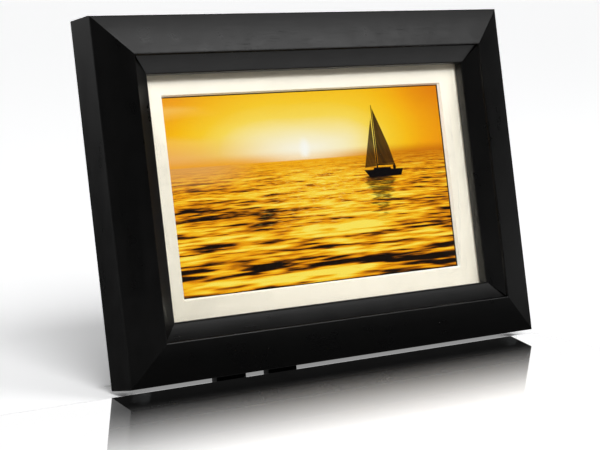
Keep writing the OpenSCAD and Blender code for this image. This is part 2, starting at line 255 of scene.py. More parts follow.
def turned(name: str, profile: Sequence[tuple[float, float]], steps: int = 48) -> Piece:
    """Turns a round piece on the Z axis, as on a lathe.

    Args:
        name: the piece's name.
        profile: radius and height of each corner, from the bottom pole to the top pole.
        steps: how many facets go round.

    Returns:
        The closed solid, with its faces pointing outwards.
    """
    piece = outline(name, [(radius, 0, height) for radius, height in profile])
    with editing(piece):
        take_all()
        bpy.ops.mesh.spin(steps=steps, angle=math.tau, center=(0, 0, 0), axis=(0, 0, 1))
        take_all()
        bpy.ops.mesh.remove_doubles(threshold=0.005)
        face_outwards()
    return piece


def face_outwards() -> None:
    """Points every face of the piece being edited outwards."""
    take_all()
    bpy.ops.mesh.normals_make_consistent(inside=False)


def copy_of(node: str, name: str) -> Piece:
    """Copies a CAD node into the upright drawing, with its loose triangles merged into whole faces.

    Args:
        node: the CAD node.
        name: the new piece's name.

    Returns:
        The copy, in upright millimetres.
    """
    piece = bpy.data.objects.new(name, frame["nodes"][node].data.copy())
    piece.data.name = name
    bpy.context.scene.collection.objects.link(piece)
    piece.data.transform(TO_ROW.inverted())
    with editing(piece):
        bpy.ops.mesh.customdata_custom_splitnormals_clear()
        take_all()
        bpy.ops.mesh.remove_doubles(threshold=0.002)
        bpy.ops.mesh.dissolve_limited(angle_limit=math.radians(0.7))
        bpy.ops.mesh.select_all(action="DESELECT")
    return piece


def modify(piece: Piece, kind: str, **settings: object) -> None:
    """Adds a modifier, sets it and applies it.

    Args:
        piece: the piece to modify.
        kind: the modifier's type.
        **settings: the modifier's own settings.
    """
    only(piece)
    modifier = piece.modifiers.new(kind.title(), kind)
    for key, value in settings.items():
        setattr(modifier, key, value)
    bpy.ops.object.modifier_apply(modifier=modifier.name)


def carve(piece: Piece, *cutters: Piece) -> None:
    """Cuts each cutter out of a piece and throws the cutter away.

    Args:
        piece: the piece to cut.
        *cutters: the solids to cut out of it.
    """
    for cutter in cutters:
        modify(piece, "BOOLEAN", operation="DIFFERENCE", object=cutter, solver="EXACT")
        bpy.data.objects.remove(cutter)


def soften(piece: Piece, width: float, segments: int = 3, angle: float = 30.0) -> None:
    """Rounds every sharp edge of a piece a little.

    Args:
        piece: the piece to round.
        width: width of the rounding, in the drawing's units.
        segments: how many facets make the rounding.
        angle: the least angle, in degrees, that counts as sharp.
    """
    modify(
        piece,
        "BEVEL",
        width=width,
        segments=segments,
        limit_method="ANGLE",
        angle_limit=math.radians(angle),
        miter_outer="MITER_ARC",
        use_clamp_overlap=True,
    )


def place(piece: Piece, where: Optional[Matrix] = None, smooth: float = 32.0) -> None:
    """Puts a piece in its place for good, so that its object sits unturned at the origin.

    Args:
        piece: the piece, in millimetres.
        where: its place in the upright drawing.
        smooth: edges flatter than this many degrees are shaded smooth.
    """
    only(piece)
    piece.matrix_world = TO_ROW @ (where or Matrix.Identity(4))
    bpy.ops.object.transform_apply(location=True, rotation=True, scale=True)
    bpy.ops.object.shade_smooth_by_angle(angle=math.radians(smooth))


def copied(piece: Piece, name: str) -> Piece:
    """Copies a piece, with a mesh of its own.

    Args:
        piece: the piece to copy.
        name: the copy's name.

    Returns:
        The copy.
    """
    twin = piece.copy()
    twin.data = piece.data.copy()
    twin.name = twin.data.name = name
    bpy.context.scene.collection.objects.link(twin)
    return twin


def joined(pieces: Sequence[Piece]) -> Piece:
    """Joins pieces into the first of them and returns it.

    Args:
        pieces: the pieces to join.

    Returns:
        The first of them, which holds them all.
    """
    bpy.ops.object.select_all(action="DESELECT")
    for piece in pieces:
        piece.select_set(True)
    bpy.context.view_layer.objects.active = pieces[0]
    if len(pieces) > 1:
        bpy.ops.object.join()
    return pieces[0]


def deliver(
    piece: Piece, body: str, slot: str, *nodes: str, finish: Optional["Finish"] = None
) -> Piece:
    """Dresses a finished piece and hands it to the frame.

    Args:
        piece: the finished piece.
        body: the CAD body that it rides on.
        slot: the record's material slot that it takes its finish from.
        *nodes: the CAD nodes that it stands for.
        finish: the finish to dress it with, when it is not the slot's own.

    Returns:
        The same piece.
    """
    piece.data.materials.clear()
    piece.data.materials.append((finish or FINISHES[slot]).material())
    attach(piece, body)
    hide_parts(*nodes)
    log.info("%s: %d faces, rides on %s", piece.name, len(piece.data.polygons), body)
    return piece


# --------------------------------------------------------------------------- wiring materials

Feed = Union[float, int, str, Sequence[float], Socket, "Term"]


class Graph:
    """A node tree that is being wired."""

    def __init__(self, tree: bpy.types.NodeTree) -> None:
        """Takes the tree to wire."""
        self.tree = tree

    def feed(self, socket: Socket, value: Feed) -> None:
        """Links a socket to another, or sets it to a plain value.

        Args:
            socket: the input to feed.
            value: a socket, a term, a constant or a colour's hex code.
        """
        source = value.socket if isinstance(value, Term) else value
        source = paint(source) if isinstance(source, str) else source
        if isinstance(source, Socket):
            self.tree.links.new(source, socket)
        else:
            socket.default_value = source

    def add(
        self, kind: str, inputs: Optional[dict[Union[str, int], Feed]] = None, **settings: object
    ) -> bpy.types.Node:
        """Adds a node.

        Args:
            kind: the node's type, without the shader prefix.
            inputs: what feeds its inputs, by name or number.
            **settings: the node's own settings.

        Returns:
            The new node.
        """
        node = self.tree.nodes.new("ShaderNode" + kind)
        for key, value in settings.items():
            setattr(node, key, value)
        for key, value in (inputs or {}).items():
            self.feed(node.inputs[key], value)
        return node

    def term(self, socket: Socket) -> "Term":
        """Wraps a socket so that it can be reckoned with."""
        return Term(self, socket)

    def noise(self, vector: Feed, scale: Feed, detail: float = 2.0, rough: float = 0.5) -> "Term":
        """Returns soft noise over a vector, from 0 to 1."""
        inputs = {"Vector": vector, "Scale": scale, "Detail": detail, "Roughness": rough}
        return self.term(self.add("TexNoise", inputs).outputs["Fac"])

    def vector(self, x: Feed, y: Feed, z: Feed = 0.0) -> Socket:
        """Joins three numbers into a vector."""
        return self.add("CombineXYZ", {0: x, 1: y, 2: z}).outputs[0]

    def stretch(self, vector: Feed, scale: Point, turn: Point = (0, 0, 0)) -> Socket:
        """Scales and turns a vector."""
        inputs = {"Vector": vector, "Rotation": turn, "Scale": scale}
        return self.add("Mapping", inputs).outputs[0]

    def mix(self, share: Feed, first: Feed, second: Feed) -> Socket:
        """Mixes two colours.

        Args:
            share: how much of the second colour shows.
            first: the first colour.
            second: the second colour.

        Returns:
            The mixed colour.
        """
        node = self.add("Mix", data_type="RGBA")
        for number, value in ((0, share), (6, first), (7, second)):
            self.feed(node.inputs[number], value)
        return node.outputs[2]

    def ramp(self, share: Feed, stops: Sequence[tuple[float, str]]) -> Socket:
        """Spreads a number over a run of colours.

        Args:
            share: the number, from 0 to 1.
            stops: the place and the colour code of each stop.

        Returns:
            The colour at that number.
        """
        node = self.add("ValToRGB", {0: share})
        line = node.color_ramp
        while len(line.elements) < len(stops):
            line.elements.new(1.0)
        for element, (spot, _) in zip(line.elements, stops):
            element.position = spot
        for element, (_, colour) in zip(line.elements, stops):
            element.color = paint(colour)
        return node.outputs[0]

    def surface(self, inputs: dict[Union[str, int], Feed]) -> Socket:
        """Adds a principled surface and returns its shader."""
        return self.add("BsdfPrincipled", inputs).outputs[0]

    def blend(self, share: Feed, first: Socket, second: Socket) -> Socket:
        """Mixes two shaders, with a share of the second."""
        return self.add("MixShader", {0: share, 1: first, 2: second}).outputs[0]

    def split(self, vector: Feed) -> list["Term"]:
        """Splits a vector into its three numbers."""
        return [self.term(number) for number in self.add("SeparateXYZ", {0: vector}).outputs]

    def relief(self, height: Feed, depth: float, reach: float = 1.0) -> Socket:
        """Turns a height into a surface normal.

        Args:
            height: the height over the surface, from 0 to 1.
            depth: how deep a height of 1 is, in millimetres.
            reach: how strongly the relief shows.

        Returns:
            The normal.
        """
        inputs = {"Height": height, "Distance": depth * MM, "Strength": reach}
        return self.add("Bump", inputs).outputs[0]


class Term:
    """A number that changes over a surface, written like ordinary arithmetic."""

    def __init__(self, graph: Graph, socket: Socket) -> None:
        """Takes the graph and the socket that carries the number."""
        self.graph = graph
        self.socket = socket

    def reckon(self, how: str, *others: Feed) -> "Term":
        """Returns this number put through a Math node with others.

        Args:
            how: the Math node's operation.
            *others: the numbers that follow this one.

        Returns:
            The result.
        """
        inputs: dict[Union[str, int], Feed] = {0: self}
        inputs.update({i + 1: other for i, other in enumerate(others)})
        return Term(self.graph, self.graph.add("Math", inputs, operation=how).outputs[0])

    def __add__(self, other: Feed) -> "Term":
        """Adds."""
        return self.reckon("ADD", other)

    def __sub__(self, other: Feed) -> "Term":
        """Subtracts."""
        return self.reckon("SUBTRACT", other)

    def __mul__(self, other: Feed) -> "Term":
        """Multiplies."""
        return self.reckon("MULTIPLY", other)

    def __truediv__(self, other: Feed) -> "Term":
        """Divides."""
        return self.reckon("DIVIDE", other)

    def least(self, other: Feed) -> "Term":
        """Returns the smaller of two numbers."""
        return self.reckon("MINIMUM", other)

    def most(self, other: Feed) -> "Term":
        """Returns the larger of two numbers."""
        return self.reckon("MAXIMUM", other)

    def size(self) -> "Term":
        """Returns the number without its sign."""
        return self.reckon("ABSOLUTE")

    def rise(self, start: Feed, end: Feed, low: Feed = 0.0, high: Feed = 1.0) -> "Term":
        """Rises smoothly between two limits.

        Args:
            start: where the rise starts.
            end: where it ends.
            low: what it gives before the start.
            high: what it gives past the end.

        Returns:
            The smooth step.
        """
        inputs = {0: self, 1: start, 2: end, 3: low, 4: high}
        node = self.graph.add("MapRange", inputs, interpolation_type="SMOOTHSTEP", clamp=True)
        return Term(self.graph, node.outputs[0])

    def spread(self, start: Feed, end: Feed, low: Feed = 0.0, high: Feed = 1.0) -> "Term":
        """Moves in a straight line between two limits, and stays within them."""
        node = self.graph.add("MapRange", {0: self, 1: start, 2: end, 3: low, 4: high}, clamp=True)
        return Term(self.graph, node.outputs[0])


def blank(owner: Union[bpy.types.Material, bpy.types.World]) -> Graph:
    """Clears the nodes of a material or a world.

    Args:
        owner: the material or the world.

    Returns:
        Its empty graph, to wire.
    """
    owner.use_nodes = True
    owner.node_tree.nodes.clear()
    return Graph(owner.node_tree)


@dataclass(frozen=True)
class Effect:
    """A shader node group that many finishes use.

    Attributes:
        name: the group's name.
        inputs: the name and default of each number that it takes, after its Vector.
        outputs: the names of the numbers that it gives.
        wire: wires the group, and returns one number per output.
    """

    name: str
    inputs: tuple[tuple[str, float], ...]
    outputs: tuple[str, ...]
    wire: Callable[[Graph, dict[str, Term]], Sequence[Term]]

    def tree(self) -> bpy.types.NodeTree:
        """Returns the group's tree, wired the first time that it is asked for.

        Returns:
            The node tree.
        """
        if self.name in bpy.data.node_groups:
            return bpy.data.node_groups[self.name]
        tree = bpy.data.node_groups.new(self.name, "ShaderNodeTree")
        face = tree.interface
        face.new_socket("Vector", in_out="INPUT", socket_type="NodeSocketVector")
        for name, default in self.inputs:
            face.new_socket(name, in_out="INPUT", socket_type="NodeSocketFloat").default_value = (
                default
            )
        for name in self.outputs:
            face.new_socket(name, in_out="OUTPUT", socket_type="NodeSocketFloat")
        graph = Graph(tree)
        taken = tree.nodes.new("NodeGroupInput")
        given = tree.nodes.new("NodeGroupOutput")
        terms = {socket.name: graph.term(socket) for socket in taken.outputs if socket.name}
        for name, term in zip(self.outputs, self.wire(graph, terms)):
            graph.feed(given.inputs[name], term)
        return tree

    def use(self, graph: Graph, vector: Feed, **values: Feed) -> list[Term]:
        """Places the group in a material.

        Args:
            graph: the material's graph.
            vector: the coordinates that the effect follows.
            **values: the effect's own values, by input name.

        Returns:
            One term per output.
        """
        node = graph.add("Group")
        node.node_tree = self.tree()
        graph.feed(node.inputs["Vector"], vector)
        for key, value in values.items():
            graph.feed(node.inputs[key], value)
        return [graph.term(node.outputs[name]) for name in self.outputs]


def wire_grain(graph: Graph, t: dict[str, Term]) -> Sequence[Term]:
    """Wires fine moulded grain: small pits with a slower change of gloss over them.

    Args:
        graph: the group's graph.
        t: the group's inputs, by name.

    Returns:
        One number per output.
    """
    fine = graph.noise(t["Vector"], t["Scale"], 3.0, 0.6)
    cells = graph.add(
        "TexVoronoi", {"Vector": t["Vector"], "Scale": t["Scale"] * 0.7}, feature="SMOOTH_F1"
    )
    height = fine * 0.6 + graph.term(cells.outputs["Distance"]) * 0.4
    patches = graph.noise(t["Vector"], t["Scale"] * 0.03, 3.0, 0.55)
    return height, patches.rise(0.3, 0.7)


def wire_wear(graph: Graph, t: dict[str, Term]) -> Sequence[Term]:
    """Wires a mask that is 1 along worn outer edges.

    Args:
        graph: the group's graph.
        t: the group's inputs, by name.

    Returns:
        One number per output.
    """
    rounded = graph.add("Bevel", {"Radius": t["Width"]}, samples=4)
    plain = graph.add("NewGeometry").outputs["Normal"]
    match = graph.add("VectorMath", {0: rounded.outputs[0], 1: plain}, operation="DOT_PRODUCT")
    edge = graph.term(match.outputs["Value"]).rise(0.985, 0.86)
    broken = graph.noise(t["Vector"], t["Scale"], 4.0, 0.65).rise(0.42, 0.62)
    return (edge * broken * t["Amount"],)


def wire_dust(graph: Graph, t: dict[str, Term]) -> Sequence[Term]:
    """Wires a mask of loose dust that lies on what faces up.

    Args:
        graph: the group's graph.
        t: the group's inputs, by name.

    Returns:
        One number per output.
    """
    normal = graph.add("NewGeometry").outputs["Normal"]
    up = graph.split(normal)[2].rise(-0.1, 0.9)
    specks = graph.noise(t["Vector"], t["Scale"], 5.0, 0.75).rise(0.5, 0.78)
    return (specks * (up * 0.8 + 0.2) * t["Amount"],)


def wire_wood(graph: Graph, t: dict[str, Term]) -> Sequence[Term]:
    """Wires close wood grain under lacquer: long fibres, short pores and slow bands.

    Args:
        graph: the group's graph.
        t: the group's inputs, by name.

    Returns:
        One number per output.
    """
    fibres = graph.noise(t["Vector"], t["Scale"], 6.0, 0.62)
    pores = graph.noise(t["Vector"], t["Scale"] * 2.7, 2.0, 0.5).rise(0.60, 0.72)
    bands = graph.noise(t["Vector"], t["Scale"] * 0.16, 2.0, 0.5)
    return fibres * 0.7 + bands * 0.3 - pores * 0.35, pores, bands.rise(0.3, 0.7)


GRAIN = Effect("moulded grain", (("Scale", 2000.0),), ("Height", "Patches"), wire_grain)
WEAR = Effect(
    "edge wear", (("Width", 0.0004), ("Scale", 400.0), ("Amount", 0.5)), ("Mask",), wire_wear
)
DUST = Effect("loose dust", (("Scale", 900.0), ("Amount", 0.1)), ("Mask",), wire_dust)
WOOD = Effect("wood grain", (("Scale", 300.0),), ("Height", "Pores", "Bands"), wire_wood)


@dataclass(frozen=True)
class Finish:
    """What a surface is made of. Each kind of finish wires its own material once.

    Attributes:
        name: the material's name.
    """

    name: str

    def material(self) -> bpy.types.Material:
        """Returns the material, wired the first time that it is asked for.

        Returns:
            The material.
        """
        if self.name in bpy.data.materials:
            return bpy.data.materials[self.name]
        material = bpy.data.materials.new(self.name)
        graph = blank(material)
        coordinates = graph.add("TexCoord").outputs["Object"]
        shader = self.wire(graph, coordinates)
        graph.add("OutputMaterial", {"Surface": shader})
        return material

    def wire(self, graph: Graph, coordinates: Socket) -> Socket:
        """Wires the material.

        Args:
            graph: the material's graph.
            coordinates: the piece's own coordinates, in metres.

        Returns:
            The shader's output.
        """
        raise NotImplementedError


class Grain(Enum):
    """Which way the wood's fibres run."""

    ACROSS = (0.06, 1.0, 1.0)
    UPRIGHT = (1.0, 1.0, 0.06)


@dataclass(frozen=True)
class Lacquer(Finish):
    """Black satin lacquer on close-grained wood.

    Attributes:
        colour: the lacquer's colour.
        grain: which way the fibres run.
    """

    colour: str = "#070707"
    grain: Grain = Grain.ACROSS

    def wire(self, graph: Graph, coordinates: Socket) -> Socket:
        """Wires dark lacquer that has sunk a little into the fibres and pores.

        Args:
            graph: the material's graph.
            coordinates: the piece's own coordinates, in metres.

        Returns:
            The shader's output.
        """
        along = graph.stretch(coordinates, self.grain.value)
        height, pores, bands = WOOD.use(graph, along, Scale=900.0)
        skin, patches = GRAIN.use(graph, coordinates, Scale=3200.0)
        (wear,) = WEAR.use(graph, coordinates, Width=0.0005, Scale=700.0, Amount=0.35)
        (dust,) = DUST.use(graph, coordinates, Scale=1500.0, Amount=0.02)
        base = graph.mix(bands * 0.5, self.colour, "#0c0b0b")
        base = graph.mix(pores * 0.5, base, "#030303")
        base = graph.mix(wear, base, "#242220")
        base = graph.mix(dust, base, "#8d8a86")
        rough = (patches * 0.05 + bands * 0.04 + 0.26) + dust * 0.4 + pores * 0.08
        normal = graph.relief(height * 0.75 + skin * 0.25, 0.03, 0.55)
        return graph.surface(
            {
                "Base Color": base,
                "Roughness": rough,
                "Normal": normal,
                "Specular IOR Level": 0.45,
            }
        )


@dataclass(frozen=True)
class Moulded(Finish):
    """Moulded plastic, rubber or paint with a fine even grain.

    Attributes:
        colour: its colour.
        worn: its colour along worn edges.
        grain: size of the grain, in millimetres.
        depth: depth of the grain, in millimetres.
        rough: its least and greatest roughness.
        wear: how much its edges are worn.
        dust: how much dust lies on it.
        coat: weight of its clear coat.
        through: how much light passes through it.
        glow: how strongly it glows.
        alpha: how solid it looks.
    """

    colour: str = "#151516"
    worn: str = "#3a3a3b"
    grain: float = 0.35
    depth: float = 0.03
    rough: tuple[float, float] = (0.42, 0.55)
    wear: float = 0.3
    dust: float = 0.08
    coat: float = 0.0
    through: float = 0.0
    glow: float = 0.0
    alpha: float = 1.0

    def wire(self, graph: Graph, coordinates: Socket) -> Socket:
        """Wires grain, worn edges, dust and a slow change of gloss.

        Args:
            graph: the material's graph.
            coordinates: the piece's own coordinates, in metres.

        Returns:
            The shader's output.
        """
        height, patches = GRAIN.use(graph, coordinates, Scale=1.0 / (self.grain * MM))
        (wear,) = WEAR.use(graph, coordinates, Width=0.0003, Scale=900.0, Amount=self.wear)
        (dust,) = DUST.use(graph, coordinates, Scale=1300.0, Amount=self.dust)
        deep = tuple(c * 0.8 for c in paint(self.colour)[:3]) + (1.0,)
        base = graph.mix(patches * 0.6 + height * 0.3, deep, self.colour)
        base = graph.mix(wear, base, self.worn)
        base = graph.mix(dust, base, "#b8b3aa")
        low, high = self.rough
        rough = patches.spread(0.0, 1.0, low, high) + dust * 0.3 - wear * 0.1
        inputs: dict[Union[str, int], Feed] = {
            "Base Color": base,
            "Roughness": rough,
            "Normal": graph.relief(height, self.depth, 0.6),
            "Coat Weight": self.coat,
            "Coat Roughness": 0.2,
            "Transmission Weight": self.through,
            "Alpha": self.alpha,
        }
        if self.glow:
            inputs["Emission Color"] = base
            inputs["Emission Strength"] = self.glow
        return graph.surface(inputs)


@dataclass(frozen=True)
class Sheet(Finish):
    """Pressed card or fibre: a soft sheet with short fibres and specks.

    Attributes:
        colour: its colour.
        speck: the colour of its specks.
        core: the colour that a slanted cut shows, if it has one.
        fibre: size of the fibres, in millimetres.
        depth: depth of the fibres, in millimetres.
    """

    colour: str = "#f6f2e2"
    speck: str = "#d8d0ba"
    core: str = ""
    fibre: float = 0.5
    depth: float = 0.05

    def wire(self, graph: Graph, coordinates: Socket) -> Socket:
        """Wires fibres, specks and, on the mat, the pale core that its cut window shows.

        Args:
            graph: the material's graph.
            coordinates: the piece's own coordinates, in metres.

        Returns:
            The shader's output.
        """
        scale = 1.0 / (self.fibre * MM)
        cloudy = graph.noise(coordinates, scale * 0.05, 4.0, 0.6)
        fibres = graph.noise(graph.stretch(coordinates, (0.35, 1.0, 1.0)), scale, 5.0, 0.7)
        cross = graph.noise(graph.stretch(coordinates, (1.0, 1.0, 0.35)), scale * 0.9, 5.0, 0.7)
        height = fibres * 0.5 + cross * 0.5
        specks = graph.noise(coordinates, scale * 1.7, 2.0, 0.5).rise(0.66, 0.78)
        base = graph.mix(specks * 0.5 + cloudy.rise(0.35, 0.75) * 0.12, self.colour, self.speck)
        base = graph.mix(height.rise(0.35, 0.5) * -0.10 + 0.10, base, self.speck)
        if self.core:
            normal = graph.add("NewGeometry").outputs["Normal"]
            front = tuple(self.facing())
            tilt = graph.add("VectorMath", {0: normal, 1: front}, operation="DOT_PRODUCT")
            cut = graph.term(tilt.outputs["Value"]).rise(0.97, 0.9)
            base = graph.mix(cut, base, self.core)
        return graph.surface(
            {
                "Base Color": base,
                "Roughness": height.spread(0.3, 0.7, 0.82, 0.95),
                "Normal": graph.relief(height, self.depth, 0.5),
                "Specular IOR Level": 0.3,
            }
        )

    @staticmethod
    def facing() -> Vector:
        """Returns the way that the leaning front faces."""
        return (TO_ROW.to_3x3() @ Vector((0, -1, 0))).normalized()


@dataclass(frozen=True)
class Metal(Finish):
    """Rolled, plated or cast metal.

    Attributes:
        colour: its colour.
        stain: the colour of its faint stains.
        stretch: how the drawn lines are stretched along each axis.
        rough: its least and greatest roughness.
        depth: depth of the drawn lines, in millimetres.
    """

    colour: str = "#b9bbbf"
    stain: str = "#8a8c90"
    stretch: tuple[float, float, float] = (0.05, 1.0, 1.0)
    rough: tuple[float, float] = (0.22, 0.38)
    depth: float = 0.01

    def wire(self, graph: Graph, coordinates: Socket) -> Socket:
        """Wires drawn lines, faint stains and a change of polish.

        Args:
            graph: the material's graph.
            coordinates: the piece's own coordinates, in metres.

        Returns:
            The shader's output.
        """
        lines = graph.noise(graph.stretch(coordinates, self.stretch), 5200.0, 4.0, 0.6)
        stains = graph.noise(coordinates, 240.0, 5.0, 0.65).rise(0.4, 0.75)
        (wear,) = WEAR.use(graph, coordinates, Width=0.0002, Scale=900.0, Amount=0.5)
        base = graph.mix(stains * 0.6 + lines * 0.2, self.colour, self.stain)
        base = graph.mix(wear, base, "#d9dadc")
        low, high = self.rough
        return graph.surface(
            {
                "Base Color": base,
                "Metallic": 1.0,
                "Roughness": (lines * 0.5 + stains * 0.5).spread(0.2, 0.8, low, high),
                "Normal": graph.relief(lines, self.depth, 0.4),
            }
        )


@dataclass(frozen=True)
class Pane(Finish):
    """Thin clear glass that lets the lamps through.

    Attributes:
        tint: the glass's faint tint.
    """

    tint: str = "#fcfdfc"

    def wire(self, graph: Graph, coordinates: Socket) -> Socket:
        """Wires clean glass with a trace of smear.

        Args:
            graph: the material's graph.
            coordinates: the piece's own coordinates, in metres.

        Returns:
            The shader's output.
        """
        smear = graph.noise(graph.stretch(coordinates, (1.0, 1.0, 0.4)), 45.0, 4.0, 0.6)
        tint = graph.mix(smear.rise(0.4, 0.8) * 0.1, self.tint, "#f7f9f8")
        glass = graph.surface(
            {
                "Base Color": tint,
                "Roughness": smear.spread(0.4, 0.8, 0.0, 0.012),
                "IOR": 1.45,
                "Transmission Weight": 1.0,
            }
        )
        clear = graph.add("BsdfTransparent", {0: "#fafbfa"}).outputs[0]
        rays = graph.add("LightPath").outputs["Is Shadow Ray"]
        return graph.blend(rays, glass, clear)


@dataclass(frozen=True)
class CircuitBoard(Finish):
    """Green solder mask over copper tracks, with tinned pads."""

    def wire(self, graph: Graph, coordinates: Socket) -> Socket:
        """Wires tracks, pads and the mask's gloss.

        Args:
            graph: the material's graph.
            coordinates: the piece's own coordinates, in metres.

        Returns:
            The shader's output.
        """
        grid = graph.add(
            "TexBrick",
            {
                "Vector": graph.stretch(coordinates, (1.0, 1.0, 1.0), (math.pi / 2, 0, 0)),
                "Scale": 260.0,
                "Mortar Size": 0.035,
                "Brick Width": 0.9,
                "Row Height": 0.25,
            },
        )
        track = graph.term(grid.outputs["Fac"])
        dots = graph.add("TexVoronoi", {"Vector": coordinates, "Scale": 420.0})
        pad = graph.term(dots.outputs["Distance"]).rise(0.2, 0.14)
        base = graph.mix(track, "#12402a", "#1d5c3a")
        base = graph.mix(pad, base, "#b9b8ae")
        return graph.surface(
            {
                "Base Color": base,
                "Roughness": pad.spread(0.0, 1.0, 0.35, 0.25),
                "Metallic": pad,
                "Normal": graph.relief(track * 0.6 + pad * 0.4, 0.03),
            }
        )


@dataclass(frozen=True)
class Ribbon(Finish):
    """Amber film with copper lines along it."""

    def wire(self, graph: Graph, coordinates: Socket) -> Socket:
        """Wires the film's lines.

        Args:
            graph: the material's graph.
            coordinates: the piece's own coordinates, in metres.

        Returns:
            The shader's output.
        """
        lines = graph.add("TexWave", {"Vector": coordinates, "Scale": 320.0}, wave_profile="SIN")
        line = graph.term(lines.outputs["Fac"]).rise(0.45, 0.55)
        base = graph.mix(line, "#a5601c", "#c98a3c")
        rough = line.spread(0, 1, 0.3, 0.45)
        normal = graph.relief(line, 0.02)
        return graph.surface({"Base Color": base, "Roughness": rough, "Normal": normal})


